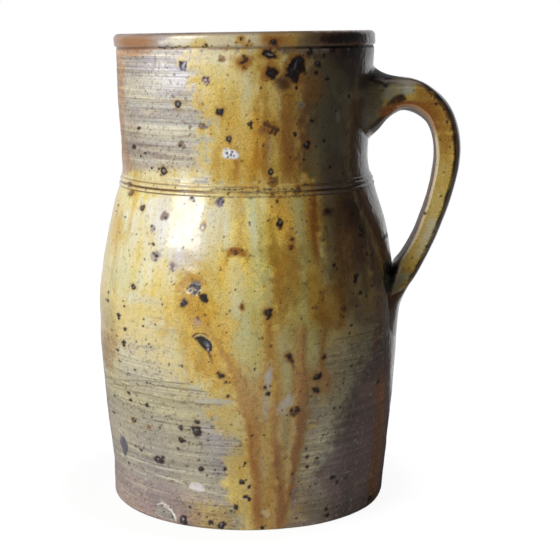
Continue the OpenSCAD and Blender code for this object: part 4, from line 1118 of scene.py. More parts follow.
# Broad changes in the glaze's colour, partly its depth, partly painted shade over the right side and painted
# sheen on the lit left: (outline, how much of red, green and blue it keeps, edge)
WASH_STRENGTH = 0.45
TONE_SHADE_AND_SHEEN_WASHES = [
    (box(80, 190, 172, 310), (1.04, 1.09, 1.30), 16),
    ([(196, 190), (262, 190), (256, 236), (196, 236)], (1.08, 1.12, 1.25), 12),
    (box(284, 188, 322, 250), (1.0, 0.80, 0.45), 10),
    ([(278, 250), (326, 250), (326, 346), (284, 346)], (0.90, 0.86, 0.72), 14),
    # Painted shade over the right of the belly
    ([(322, 186), (430, 186), (430, 335), (332, 335)], (0.46, 0.36, 0.33), 14),
    ([(326, 186), (430, 186), (430, 238), (330, 238)], (0.80, 0.76, 0.80), 10),
    ([(270, 250), (300, 250), (300, 300), (272, 300)], (0.95, 0.88, 0.75), 8),
    ([(280, 76), (325, 76), (320, 180), (280, 180)], (0.74, 0.58, 0.40), 10),
    (box(242, 112, 284, 176), (0.96, 0.87, 0.62), 8),
    ([(312, 46), (430, 46), (430, 190), (320, 190)], (0.60, 0.58, 0.64), 12),
    (box(324, 92, 346, 186), (0.75, 0.75, 0.85), 8),
    (box(302, 46, 345, 72), (0.66, 0.62, 0.75), 8),
    (box(300, 176, 420, 192), (0.70, 0.62, 0.65), 6),
    (box(100, 96, 140, 176), (0.84, 0.78, 0.75), 12),
    ([(256, 330), (320, 330), (312, 540), (240, 540)], (0.83, 0.72, 0.68), 12),
    ([(312, 340), (345, 340), (340, 400), (312, 400)], (0.90, 0.80, 0.72), 10),
    ([(120, 440), (215, 440), (240, 512), (130, 500)], (1.15, 1.15, 1.15), 16),
    ([(318, 176), (430, 176), (430, 345), (326, 345)], (0.76, 0.68, 0.60), 12),
    ([(312, 184), (430, 184), (430, 232), (316, 232)], (0.66, 0.60, 0.60), 10),
    ([(336, 184), (378, 184), (382, 212), (340, 212)], (0.60, 0.50, 0.48), 8),
    ([(262, 60), (302, 60), (300, 186), (262, 186)], (0.98, 0.95, 0.80), 8),
    (box(222, 104, 262, 186), (1.02, 0.95, 0.78), 8),
    ([(262, 190), (318, 190), (316, 400), (262, 400)], (0.99, 0.97, 0.85), 8),
    (box(222, 244, 262, 370), (1.03, 0.98, 0.82), 8),
    (box(184, 292, 222, 372), (0.98, 0.92, 0.66), 8),
    # Painted sheen on the lit left of the neck
    (box(140, 40, 244, 104), (1.10, 1.12, 1.30), 12),
    (box(318, 46, 345, 180), (0.84, 0.78, 0.76), 8),
    ([(340, 150), (372, 150), (376, 182), (340, 182)], (0.65, 0.60, 0.60), 8),
    (box(300, 50, 330, 100), (0.82, 0.72, 0.66), 8),
    ([(304, 420), (340, 410), (336, 500), (300, 500)], (1.25, 1.25, 1.25), 10),
    ([(180, 464), (224, 464), (232, 512), (180, 512)], (1.20, 1.25, 1.15), 10),
    (box(326, 466, 352, 520), (0.78, 0.74, 0.76), 8),
    ([(120, 320), (190, 320), (196, 390), (120, 390)], (1.0, 1.03, 1.25), 12),
    ([(342, 212), (372, 212), (374, 236), (344, 236)], (1.20, 1.30, 1.05), 8),
    ([(348, 256), (400, 256), (400, 330), (352, 330)], (1.20, 1.35, 1.35), 12),
    ([(100, 50), (168, 50), (162, 176), (100, 176)], (0.92, 0.92, 0.94), 22),
    ([(138, 400), (164, 400), (168, 520), (138, 510)], (0.86, 0.88, 0.95), 16),
    ([(200, 396), (244, 396), (246, 480), (206, 480)], (0.90, 0.92, 1.15), 10),
    (box(222, 194, 250, 262), (1.0, 1.06, 1.25), 8),
    (box(318, 186, 346, 232), (0.75, 0.68, 0.66), 8),
    (box(120, 190, 158, 212), (1.10, 1.12, 1.20), 10),
    (box(222, 190, 286, 300), (1.28, 1.22, 0.95), 14),
    ([(336, 196), (392, 196), (392, 312), (340, 312)], (1.40, 1.40, 1.35), 14),
    (box(300, 430, 345, 512), (1.30, 1.40, 1.40), 12),
    ([(358, 366), (392, 366), (386, 490), (358, 490)], (1.22, 1.10, 1.15), 10),
    ([(338, 312), (396, 312), (390, 378), (338, 378)], (0.74, 0.70, 0.68), 12),
    (box(296, 314, 344, 346), (0.86, 0.78, 0.60), 8),
    ([(180, 345), (206, 345), (216, 395), (184, 395)], (1.0, 1.05, 1.4), 8),
    (box(170, 46, 202, 84), (1.0, 1.0, 1.12), 8),
    (box(338, 184, 364, 218), (1.02, 0.80, 0.58), 8),
    (box(298, 138, 322, 184), (1.32, 1.20, 0.92), 8),
    (box(320, 238, 342, 262), (1.22, 1.26, 1.26), 8),
    (box(278, 298, 302, 322), (1.22, 1.30, 1.40), 8),
    (box(258, 258, 282, 284), (1.22, 1.22, 1.12), 8),
    (box(358, 258, 384, 302), (1.15, 1.25, 1.32), 8),
    (box(358, 376, 384, 402), (1.35, 1.25, 1.25), 8),
    (box(354, 474, 382, 504), (1.25, 1.16, 1.08), 8),
    ([(96, 296), (118, 296), (120, 366), (96, 366)], (0.84, 0.84, 0.94), 10),
    (box(222, 316, 264, 372), (1.03, 0.95, 0.76), 10),
    (box(242, 96, 264, 164), (1.04, 1.0, 0.84), 8),
    # Painted light: the wall beside the handle's root made paler, to even its shade with the lit root
    (box(340, 84, 368, 134), (1.40, 1.46, 1.46), 8),
]


def tone_shade_and_sheen_washes(s):
    """Each wash keeps its share of the colours, weakened by the strength as a power; some are painted shade
    or painted sheen.
    """
    for outline, keep, edge in TONE_SHADE_AND_SHEEN_WASHES:
        k, d = s.within(outline, edge)
        m = ramp(d, -edge / 2, edge / 2)[:, None]
        s.colour[k] = np.clip(s.colour[k] * (1 + (np.array(keep)**WASH_STRENGTH - 1) * m), 0, 1)


# The neck's dark right, partly dark glaze and partly painted shade beside the handle's root and under the
# lip, and the brown stain beside it
NECK_ACCENTS = [
    (PATCH, seen(330, 96, 90, 66), [(314, 58), (342, 58), (350, 100), (347, 178), (306, 180), (312, 130)],
        14, 4, 0.55),
    # Painted shade under the lip, above the handle's root
    (PATCH, seen(350, 56, 42, 34), [(340, 46), (374, 46), (374, 96), (362, 84), (346, 78)], 10, 3, 0.6),
    (PATCH, seen(340, 84, 70, 54), [(338, 146), (374, 146), (374, 190), (318, 190), (322, 166)], 14, 4,
        0.5),
    (PATCH, seen(312, 124, 88, 42), [(304, 78), (318, 74), (327, 84), (325, 96), (314, 104), (302, 100)], 7,
        2, 0.6),
    (PATCH, seen(345, 98, 90, 68), [(344, 92), (362, 86), (366, 92), (352, 100), (342, 102)], 4, 2, 0.5),
    (RUN, seen(303, 110, 70, 36), [(306, 108, 1.4), (302, 120, 1.6), (301, 132, 1.6), (303, 142, 2)], 2.5,
        1, 0.6),
    # Painted shade under the lip at the right
    (PATCH, INK, [(326, 45), (374, 42), (374, 58), (346, 60), (338, 51)], 5, 2, 0.75, "level"),
]
# The strongest streaks and drifts of the belly, over its washes: (colour, line or outline, edge, amount)
STREAKS = [
    (seen(239, 214, 178, 96), [(239, 194, 7), (239, 214, 6), (241, 232, 3.5), (242, 250, 2)], 2.5, 0.75),
    (seen(252, 206, 206, 172), [(252.5, 192, 4), (254, 222, 5.5), (252, 252, 4.5)], 4.5, 0.62),
    (seen(259, 205, 185, 105), [(259, 200, 1.2), (259.5, 225, 1.2), (259, 250, 1.2)], 1.5, 0.6),
    (seen(263, 218, 210, 158), [(263, 196, 3), (264, 206, 3.4), (263, 218, 2.5)], 2.5, 0.7),
    (seen(268, 182, 160, 72), [(268, 214, 4), (268, 236, 6), (268, 262, 7), (262, 280, 4)], 4.0, 0.6),
    (seen(273, 160, 135, 48), [(273, 226, 2.5), (274, 245, 3), (274, 262, 3)], 3.0, 0.5),
    (seen(281, 192, 148, 74), [(281, 190, 7), (282, 210, 7), (280, 224, 5)], 3.0, 0.6),
    (seen(298, 172, 176, 142), [(297, 200, 4), (298, 214, 5.5), (300, 236, 4), (301, 246, 3)], 4.5, 0.6),
    (seen(306, 160, 130, 58), [(306, 198, 3), (306, 220, 3), (306, 240, 3)], 2.0, 0.5),
    (seen(314, 118, 72, 28), [(313.5, 192, 4), (314, 215, 4.5), (315, 240, 2.5), (316, 256, 1.5)], 2.5,
        0.8),
    (seen(306, 152, 142, 86), [(306, 240, 4.5), (307, 270, 4.5), (306, 300, 5)], 3.0, 0.6),
    (seen(237, 216, 213, 176), [(236, 262, 5), (237, 284, 6.5), (238, 300, 7), (236, 312, 5)], 3.0, 0.7),
    (seen(253, 198, 186, 112), [(254, 252, 7), (252, 290, 6), (252, 310, 6)], 5.0, 0.5),
    (seen(267, 192, 192, 150), [(267, 272, 5.5), (268, 296, 5), (266, 312, 4)], 3.0, 0.7),
    (seen(278, 150, 110, 45), [(277, 262, 4), (278, 290, 4), (280, 312, 3.5), (282, 326, 2)], 3.0, 0.7),
    (seen(291, 160, 142, 78), [(291, 290, 6), (292, 316, 7), (290, 340, 7)], 4.0, 0.6),
    (seen(258, 186, 166, 84), [(257, 316, 4), (259, 340, 5), (258, 366, 5)], 4.0, 0.5),
    (seen(269, 176, 128, 50), [(268, 320, 2), (270, 340, 3), (270, 360, 2.6), (270, 372, 2)], 2.2, 0.8),
    (seen(301, 148, 98, 48), [(302, 332, 1.5), (301, 345, 2.5), (301, 360, 4), (300, 376, 5),
        (299, 392, 6)], 3.0, 0.7),
    (seen(312, 178, 168, 108), [(313, 322, 4), (312, 344, 5), (310, 362, 5)], 3.0, 0.75),
    (seen(277, 182, 138, 72), [(277, 372, 3), (278, 392, 3.5), (276, 404, 4), (272, 420, 4)], 2.5, 0.75),
    (seen(269, 208, 202, 200), [(271, 368, 2.5), (269, 378, 4), (267, 386, 3)], 2.0, 0.85),
    (seen(266, 206, 200, 190), [(266, 396, 3), (266, 404, 3.5), (265, 414, 2)], 2.0, 0.7),
    (seen(275, 214, 190, 110), [(276, 366, 1.6), (275, 384, 2), (272, 400, 2)], 1.6, 0.6),
]
DRIFTS = [
    (seen(220, 218, 212, 182), [(206, 208), (222, 206), (233, 200), (236, 214), (234, 236), (230, 254),
        (220, 250), (216, 226), (206, 224)], 5, 0.65),
    (seen(212, 215, 188, 100), [(207, 196), (219, 195), (216, 206), (208, 207)], 3, 0.6),
    (seen(326, 92, 82, 56), [(319, 196), (332, 194), (334, 262), (322, 262)], 5, 0.5),
    (seen(288, 140, 106, 42), [(274, 238), (300, 238), (302, 290), (296, 306), (284, 300), (274, 270)], 5,
        0.55),
    (seen(244, 208, 206, 160), [(240, 318), (246, 320), (249, 336), (251, 356), (250, 366), (244, 364),
        (238, 346), (236, 334)], 4, 0.75),
    (seen(284, 190, 184, 128), [(276, 338), (286, 334), (294, 340), (292, 356), (286, 352), (278, 360),
        (274, 352)], 4, 0.6),
    (seen(288, 186, 176, 118), [(284, 362), (290, 362), (294, 376), (293, 390), (288, 396), (283, 388),
        (282, 372)], 2.5, 0.8),
    (seen(335, 172, 162, 120), [(324, 345), (332, 336), (345, 334), (350, 350), (346, 366), (330, 356)], 4,
        0.5),
    (seen(248, 192, 152, 92), [(232, 372), (244, 368), (258, 378), (262, 392), (262, 412), (258, 424),
        (246, 416), (238, 400)], 5, 0.8),
    (seen(310, 160, 120, 68), [(296, 372), (312, 366), (324, 368), (332, 384), (330, 392), (316, 394),
        (308, 400), (304, 412), (296, 404), (292, 388)], 4, 0.75),
    (seen(288, 200, 194, 186), [(286, 396), (292, 394), (294, 400), (288, 408), (283, 414), (281, 408)], 2,
        0.8),
]
SOFTER, FAINTER = 1.7, 0.8
# A honey arch with a rust core and dark stains on it, and a thin brown run further down
ARCH = [(225, 264), (226, 255), (230, 250), (236, 248), (242, 250), (246, 255), (248, 264), (245, 264),
        (243, 257), (239, 253.5), (236, 253), (232, 253.5), (229, 258), (228, 264)]
ARCH_GLAZE = [
    (PATCH, HONEY, ARCH, 2.4, 0.6, 0.8),
    (PATCH, RUST, ARCH[1:6] + ARCH[8:13], 1.6, 0.6, 0.85),
    (SPOTS, MAROON, [(236, 252.5, 2), (241, 251, 1), (231.5, 251, 1)], 0.8),
    (RUN, seen(290, 118, 80, 32), [(288, 356, 1.6), (291, 361, 1.6), (294, 368, 1.4)], 1.2, 0.4, 0.7,
        (1, 2)),
]


def belly_accents(s):
    """The strongest streaks and drifts of the belly, and the arch."""
    for colour, line, edge, amount in STREAKS:
        s.run(colour, line, SOFTER * edge, 1.4, FAINTER * amount)
    for colour, outline, edge, amount in DRIFTS:
        s.patch(colour, outline, SOFTER * edge, 2, FAINTER * amount)
    paint(s, ARCH_GLAZE)


def show_back(s):
    """Past the photograph's edges its patches end, and the back's own glaze goes on."""
    m = ramp(from_view(s.side) + 9 * s.warps["down"], 89, 111)
    colour, wet, lift = s.back
    s.colour += (colour - s.colour) * m[:, None]
    s.wet += (wet - s.wet) * m
    s.lift += (lift - s.lift) * m


SPECKS, SPECK_SIZES = 420, [0.28, 0.34, 0.42, 0.5]


def scatter(s):
    """Small iron specks all over."""
    rng = np.random.default_rng(9)
    for _ in range(SPECKS):
        u, z, r = rng.uniform(-110, 110), rng.uniform(4, 246), rng.choice(SPECK_SIZES)
        s.blob(u, z, r, r * rng.uniform(0.8, 1.2), INK if rng.random() < 0.5 else BROWN, 0.4, 0.7)


def paint_wall(s):
    """The whole jug but its handle, in the order in which the glazes lie."""
    lay_clay(s)
    paint(s, ASH_SHEET, BELLY_COLUMNS, LONG_RUNS)
    lay_neck(s)
    lay_cordon(s)
    tone_shade_and_sheen_washes(s)
    paint(s, NECK_ACCENTS)
    belly_accents(s)
    show_back(s)
    textures(s)
    right_side(s)
    scatter(s)
    paint(s, NECK_SPOTS, BELLY_SPOTS, BURST_BUBBLE, RUN_SPOTS, LOWER_SPOTS)
    lines_and_foot(s)
    lay_lip(s)
    s.wet *= 0.80 + 0.20 * ramp(noise(s.side, s.z, 2.4, 2.4, 17, 2), -0.6, 0.5)


def paint_inside(s, k):
    """The inside: honey brown, with darker streaks."""
    s.colour[k] = AMBER
    s.wet[k] = 0.85
    s.lift[k] = 0
    n = noise(s.side, s.z, 9, 60, 81, 3)[k]
    s.lay(k, 0.7 * ramp(n, 0.0, 0.8), BROWN)
    s.lay(k, 0.5 * ramp(-n, 0.1, 0.9), HONEY)


# The handle's near side: its glazes from the root to the tail with painted shade and painted highlights, and
# what lies over its ridge
NEAR_GLAZES_AND_PAINTED_LIGHT = [
    (PATCH, HONEY, [(402, 80), (425, 86), (450, 112), (470, 150), (466, 200), (440, 260), (410, 292),
        (385, 292), (410, 240), (428, 200), (430, 150), (420, 118), (400, 104)], 2, 1),
    (PATCH, srgb(118, 106, 82), [(360, 70), (384, 76), (388, 92), (380, 106), (372, 128), (360, 142),
        (348, 130), (350, 90)], 8, 3),
    (PATCH, OLIVE, [(366, 80), (384, 80), (390, 92), (376, 104), (366, 112)], 6, 3, 0.6),
    (PATCH, BLOOM, [(384, 80), (400, 78), (416, 82), (416, 96), (400, 97), (390, 102), (382, 98)], 4, 2),
    (PATCH, MILK, [(402, 82), (412, 84), (413, 96), (404, 94)], 4, 1.5, 0.5),
    (RUN, HONEY, [(393, 80, 2), (394, 90, 2.5), (396, 97, 2)], 3, 1.2, 0.7),
    (PATCH, AMBER * 0.94, [(416, 84), (428, 88), (438, 98), (428, 100), (416, 97)], 4, 2, 0.9),
    (PATCH, EMBER * 0.92, [(381, 118), (382, 109), (392, 100), (412, 99), (428, 104), (438, 120),
        (440, 134), (432, 128), (422, 114), (408, 107), (396, 108), (388, 114), (383, 120)], 4, 1.2),
    (PATCH, EMBER * 1.05, [(389, 111), (392, 105), (400, 101), (414, 102), (424, 108), (432, 120),
        (426, 116), (414, 106), (400, 105), (390, 112), (385, 117)], 3, 1),
    (PATCH, srgb(160, 108, 40), [(410, 98), (428, 96), (444, 110), (452, 128), (453, 156), (440, 156),
        (434, 122), (424, 106)], 9, 1.6, 0.85),
    (PATCH, AMBER, [(436, 130), (453, 130), (451, 176), (437, 178)], 12, 1.6, 0.6),
    (PATCH, STRAW, [(436, 158), (450, 160), (449, 186), (440, 215), (430, 215), (436, 186)], 6, 1.6, 0.55),
    (PATCH, CREAM, [(426, 222), (438, 222), (434, 236), (422, 256), (414, 256)], 6, 2, 0.8),
    (PATCH, HONEY, [(414, 224), (426, 216), (420, 240), (406, 262), (400, 262)], 4, 2, 0.6),
    (PATCH, AMBER, [(396, 268), (412, 266), (412, 272), (396, 275)], 4, 1.5, 0.5),
    (PATCH, BLOOM, [(388, 276), (412, 272), (408, 283), (386, 291)], 3, 1.5, 0.9),
    (PATCH, CLAY_BROWN * 0.9, [(384, 296), (394, 290), (410, 284), (412, 300), (400, 330), (384, 330)], 2,
        1),
    # Painted highlights along the tail's end and its near edge
    (PATCH, PALE, [(386, 295), (391, 290), (400, 286.5), (408, 283.5), (409, 285.5), (401, 289), (392, 293),
        (387, 297)], 1.2, 0.4, 0.75),
    (RUN, PALE, [(386.5, 296, 0.8), (386, 312, 0.8), (386, 330, 0.7)], 1.2, 0.3, 0.6),
    # Painted shadow: black between the tail and the belly
    (PATCH, INK, [(384, 258), (394, 260), (398, 268), (396, 277), (391, 287), (387, 294), (382, 294)], 2.4,
        0.8),
    # Painted shade along the near side's outer edge, turned from the lamp
    (RUN, BROWN * 0.8, [(428, 90, 1.2), (440, 101, 1.8), (448, 113, 2), (453, 127, 2.2), (455.5, 142, 2.2),
        (456, 160, 2), (454, 180, 2), (448, 200, 2), (439, 228, 2), (429, 250, 2), (417, 268, 2),
        (409, 280, 1.6)], 1.8, 0.8, 0.9),
    (PATCH, BROWN * 0.7, [(383, 105.5), (390, 99), (398, 93.5), (405, 93.5), (408, 100), (400, 103),
        (392, 105)], 1.6, 1.1, 0.9),
    (SPOTS, RUST, [(396, 100, 1.2), (391, 102.5, 1)], 0.6),
    (SPOTS, INK, [(401, 96, 1.1), (405.5, 98.5, 1.2)]),
    (PATCH, RUST, [(424, 92), (436, 98), (440, 106), (432, 106), (424, 100)], 2.5, 1.4, 0.4),
    (PATCH, BLOOM * 0.92, [(377, 84), (392, 81), (398, 84), (394, 98), (382, 98)], 4, 2, 0.6),
]
NEAR_SPOTS_AND_PAINTED_LIGHT = [
    # Painted shadow: black between the tail and the belly
    (PATCH, INK, [(384, 256), (392, 254), (400, 257), (398.5, 266), (395, 278), (388, 294), (382, 294)],
        1.8, 0.6),
    # Painted highlight along the inner ridge above the tail
    (PATCH, srgb(246, 234, 206), [(404, 253), (401, 262), (397.5, 274), (395, 280), (396.5, 280),
        (399.5, 272), (403, 261), (406, 254)], 0.9, 0.3, 0.9),
    (SPOTS, INK, [(424, 213, 1.6), (427, 247, 1.2), (450, 147, 1.2), (447, 122, 1.4), (436, 104, 1.2),
        (441, 196, 0.8), (431, 96, 1), (434, 99, 0.9), (444, 110, 1), (450, 131, 0.9)]),
    (SPOTS, BROWN, [(440, 140, 0.8), (434, 232, 1), (412, 258, 0.9), (444, 172, 0.8)]),
]


# Where the strap's section turns to its outer and inner faces; then, by distance from the axis, the open gap
# beside the neck and the strap's root; and by height, above and on the tail
OUTER_FACE, TURNED_OUT, INNER_FACE = (0.2, 0.4), (0.25, 0.40), (0.5, 0.7)
OPEN_GAP, ROOT, OVER_TAIL, TAIL = (74, 84), (84, 78), (120, 130), (122, 114)


def strap_faces(s):
    """The strap's honey and olive glaze, its brown inner face and its streaky outer face; painted shade where
    it turns out, over the outer face's edges and the root's top, and a painted reflection along those edges.
    """
    clear = ramp(s.off, 0.0, 3.0)
    broad = noise(s.turn, s.length, 30, 14, 91, 3)
    fine = noise(s.turn, s.length, 6, 12, 92, 2)
    s.cover(clear, OLIVE + (HONEY - OLIVE) * ramp(broad + 0.3 * fine, -0.6, 0.5)[:, None], 0.9)
    # Painted shade: dark where the section turns out of the light to the outer face
    turned_out = clear * ramp(s.out, *TURNED_OUT)
    s.cover(0.95 * turned_out * (1 - 0.2 * ramp(fine, 0.2, 0.9)), BROWN * 0.75)
    s.cover(turned_out * (0.4 + 0.5 * ramp(broad, 0.0, 0.7)), INK)
    inner, open_gap = clear * ramp(-s.out, *INNER_FACE), ramp(s.x, *OPEN_GAP)
    s.cover(0.9 * inner * open_gap, srgb(128, 88, 58), 0.2)
    s.cover(0.5 * inner * ramp(broad, 0.1, 0.7), BROWN)
    s.cover(inner * (1 - open_gap), SMOKE * 0.8, 0.3)
    s.cover(0.9 * ramp(s.z, *TAIL), PLUM, 0.9)
    outer, root = clear * ramp(s.out, *OUTER_FACE), ramp(s.x, *ROOT)
    upper_root, middle = root * ramp(s.z, *OVER_TAIL), ramp(np.abs(s.across), 0.62, 0.40)
    # Painted shade: the outer face, turned from the lamp, black and dull
    s.cover(outer, INK * 1.2, 0.0)
    # Painted reflection: grey along the outer face's edges
    s.cover(outer * ramp(np.abs(s.across), 0.91, 0.84) * (1 - upper_root), EDGE_REFLECTION_GREY, 0.9)
    streaky = ramp(noise(s.turn, s.length, 9, 70, 93, 3) + 0.3 * fine, -0.5, 0.6)[:, None]
    s.cover(0.9 * outer * middle * (1 - root), BROWN + (HONEY - BROWN) * streaky, 0.9)
    s.cover(0.7 * outer * middle * ramp(fine, 0.2, 0.8), OLIVE)
    # Painted shade: the root's upper face under the lip, black and dull
    s.cover(outer * upper_root, INK, -1.0)


def strap_edges(s):
    """The near side's edges: a painted highlight along the inner ridge, partly pale worn glaze, duller higher
    up, and a painted highlight along the brink outside.
    """
    # Painted highlights along the strap's edges
    ridge_highlight = stripe(s.out, -0.80, 0.15, 0.06) * ramp(s.z, 126, 132) * ramp(s.x, 76, 82)
    s.cover(ridge_highlight, srgb(244, 228, 194), 1.0)
    s.cover(0.9 * ridge_highlight * ramp(s.z, 192, 202), srgb(190, 146, 108), 0.9)
    brink_highlight = stripe(s.out, 0.73 + 0.1 * ramp(s.x, 74, 69), 0.10, 0.04)
    s.cover(0.9 * brink_highlight * ramp(s.x, 98, 88) * ramp(s.z, 150, 160), srgb(186, 170, 166), 0.6)


def paint_handle(s):
    """The handle, from its faces to the streaks and spots of its near side."""
    paint_wall(s)
    s.lift[:] = 0
    strap_faces(s)
    s.turn_to_near_side()
    paint(s, NEAR_GLAZES_AND_PAINTED_LIGHT)
    strap_edges(s)
    paint(s, NEAR_SPOTS_AND_PAINTED_LIGHT)


# Shader nodes
def feed(tree, n, inputs):
    """Fill a node's inputs, each with a value, an output, or the node whose first output it takes."""
    for key, value in inputs.items():
        if isinstance(value, bpy.types.Node):
            value = value.outputs[0]
        if isinstance(value, bpy.types.NodeSocket):
            tree.links.new(value, n.inputs[key])
        else:
            n.inputs[key].default_value = value


def node(tree, kind, at, inputs=None, **settings):
    """A new shader node of that kind, at a place in the editor."""
    n = tree.nodes.new("ShaderNode" + kind)
    n.location = at
    for key, value in settings.items():
        setattr(n, key, value)
    feed(tree, n, inputs or {})
    return n


def levels(tree, value, low, high, at, to_low=0.0, to_high=1.0, curve="LINEAR"):
    """The value's stretch from low to high, made to run from to_low to to_high."""
    limits = {"From Min": low, "From Max": high, "To Min": to_low, "To Max": to_high}
    return node(tree, "MapRange", at, {"Value": value, **limits}, interpolation_type=curve)


def far_away(tree, vector, low, high, at, most=1.0):
    """How far a vector points away from the camera: 0 up to low, and the most from high on."""
    x, y = at
    reach = node(tree, "VectorMath", at, {0: vector, 1: tuple(AWAY)}, operation="DOT_PRODUCT")
    return levels(tree, reach.outputs["Value"], low, high, (x + 200, y), 0.0, most, "SMOOTHSTEP")


def grey(v):
    """An opaque grey, as the shader's inputs take it."""
    return (v, v, v, 1)


def put_in_scene(name, data):
    """An object of the scene with that mesh, lamp or camera."""
    o = bpy.data.objects.new(name, data)
    bpy.context.scene.collection.objects.link(o)
    return o


def glaze_material():
    """The glaze: its colour and wetness from the mesh, with grain, finger lines, specks and orange peel."""
    m = bpy.data.materials.new("ash_glaze")
    m.use_nodes = True
    t = m.node_tree
    place = node(t, "TexCoord", (-1800, 0)).outputs["Object"]

    def read(name, high):
        """What the mesh stores under that name."""
        return node(t, "Attribute", (-1800, high), attribute_name=name)

    def cloud(size, detail, rough, high, stretch=(1, 1, 1)):
        """Noise in the glaze, finer with the size."""
        stretched = node(t, "Mapping", (-1600, high), {"Vector": place, "Scale": stretch})
        values = {"Vector": stretched, "Scale": size, "Detail": detail, "Roughness": rough}
        return node(t, "TexNoise", (-1400, high), values)

    def share(amount, value, at):
        """1, or the value where the amount is 1."""
        return node(t, "Mix", at, {"Factor": amount, "A": 1.0, "B": value}, data_type="FLOAT")

    def both(a, b, at, kind="MULTIPLY"):
        """The two values' product or sum."""
        return node(t, "Math", at, {0: a, 1: b}, operation=kind)

    wet, grit = read("wet", 300).outputs["Fac"], read("grit", 200).outputs["Fac"]
    dry = levels(t, wet, 0.42, 0.68, (-1600, 300), 0.8, 0.0)
    # Fine grain of the glaze, finger lines on the drier clay, and small iron specks
    grain = cloud(1400, 3, 0.7, 100)
    lines = cloud(1, 4, 0.65, -100, (9, 9, 1000))
    specks = cloud(620, 2, 0.5, -300)
    grain_tone = share(grit, levels(t, grain, 0.3, 0.7, (-1200, 100), 0.66, 1.32), (-1000, 100))
    line_tone = share(dry, levels(t, lines, 0.34, 0.64, (-1200, -100), 0.50, 1.36), (-1000, -100))
    speck_tone = levels(t, specks, 0.27, 0.31, (-1200, -300), 0.25, 1.0)
    tone = both(both(grain_tone, line_tone, (-800, 0)), speck_tone, (-600, 0))
    # Orange peel and finger lines in the surface
    peel = cloud(330, 3, 0.6, -500)
    height = both(both(peel, 0.5, (-1000, -500)), both(lines, dry, (-1000, -650)), (-800, -500), "ADD")
    bump = node(t, "Bump", (-400, -400), {"Strength": 0.8, "Distance": 0.0002, "Height": height})
    colour = node(t, "VectorMath", (-400, 200), {0: read("glaze", 500), "Scale": tone}, operation="SCALE")
    feed(t, t.nodes["Principled BSDF"], {
        "Base Color": colour,
        "Roughness": levels(t, wet, -1, 1, (-400, -100), 0.95, 0.34),
        "IOR": 1.5,
        "Specular IOR Level": 0.25,
        "Coat Weight": levels(t, wet, 0.3, 0.9, (-400, -250), 0.15, 0.95),
        "Coat Roughness": 0.12,
        "Coat IOR": 1.5,
        "Normal": bump,
        "Coat Normal": bump,
    })
    return m


GLAZE = glaze_material()


# Pieces
def make_piece(name, points, faces, skin, nodes):
    """A piece from its points, its quads and its painted skin."""
    mesh = bpy.data.meshes.new(name)
    n, m = len(points), len(faces)
    mesh.vertices.add(n)
    mesh.vertices.foreach_set("co", (points * MM).astype(np.float32).ravel())
    mesh.loops.add(m * 4)
    mesh.loops.foreach_set("vertex_index", faces.astype(np.int32).ravel())
    mesh.polygons.add(m)
    mesh.polygons.foreach_set("loop_start", np.arange(m, dtype=np.int32) * 4)
    mesh.polygons.foreach_set("use_smooth", np.ones(m, bool))
    mesh.update(calc_edges=True)
    colour = np.concatenate([linear(skin.colour), np.ones((n, 1))], 1).astype(np.float32)
    mesh.attributes.new("glaze", "FLOAT_COLOR", "POINT").data.foreach_set("color", colour.ravel())
    vivid = 1 - skin.colour.min(-1) / skin.colour.max(-1)
    for key, value in (("wet", skin.wet), ("grit", 0.5 + 0.5 * ramp(vivid, 0.28, 0.62))):
        mesh.attributes.new(key, "FLOAT", "POINT").data.foreach_set("value", value.astype(np.float32))
    mesh.materials.append(GLAZE)
    piece = put_in_scene(name, mesh)
    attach(piece, "root")
    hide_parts(*nodes)


def grid_faces(rows, cols, closed):
    """Quads between rows of points; each row is closed, and so is the whole where asked."""
    i, j = np.meshgrid(np.arange(rows if closed else rows - 1), np.arange(cols), indexing="ij")
    i2, j2 = (i + 1) % rows, (j + 1) % cols
    return np.stack([i * cols + j, i * cols + j2, i2 * cols + j2, i2 * cols + j], -1).reshape(-1, 4)


WALL_GAP, INSIDE_GAP = 0.6, 2.5


def thrown(name, outside, inside, node_name, lifted=False):
    """A turned piece: rows of (r, z) outside, from the bottom up, and inside, from the top down."""
    rows = np.concatenate([outside, inside])
    outer = (np.arange(len(rows)) < len(outside))[:, None]
    side, r, z, outer = np.broadcast_arrays(SIDES[None, :], rows[:, :1], rows[:, 1:], outer)
    skin = Skin(side, z)
    paint_wall(skin)
    paint_inside(skin, ~outer.ravel())
    lift, dry = skin.lift.reshape(z.shape), 1 - skin.wet.reshape(z.shape)
    turned, calmer, lift_z = 40, 0.6, LIP_Z - 14
    inside_relief = calmer * relief(side + turned, z)
    rough = np.where(outer, relief(side, z) + dry * finger_lines(side, z) + lift, inside_relief)
    high = z + (ramp(z, lift_z, TOP_Z) * rim_lift(side) if lifted else 0)
    points = surface(side, high, r + rough * ramp(r, 4, 30)).reshape(-1, 3)
    make_piece(name, points, grid_faces(len(rows), len(SIDES), True), skin, [node_name])


def beside_wall(z, off=0.0):
    """Rows of (r, z) that far off the wall."""
    return np.stack([wall_r(z) + off, z], -1)


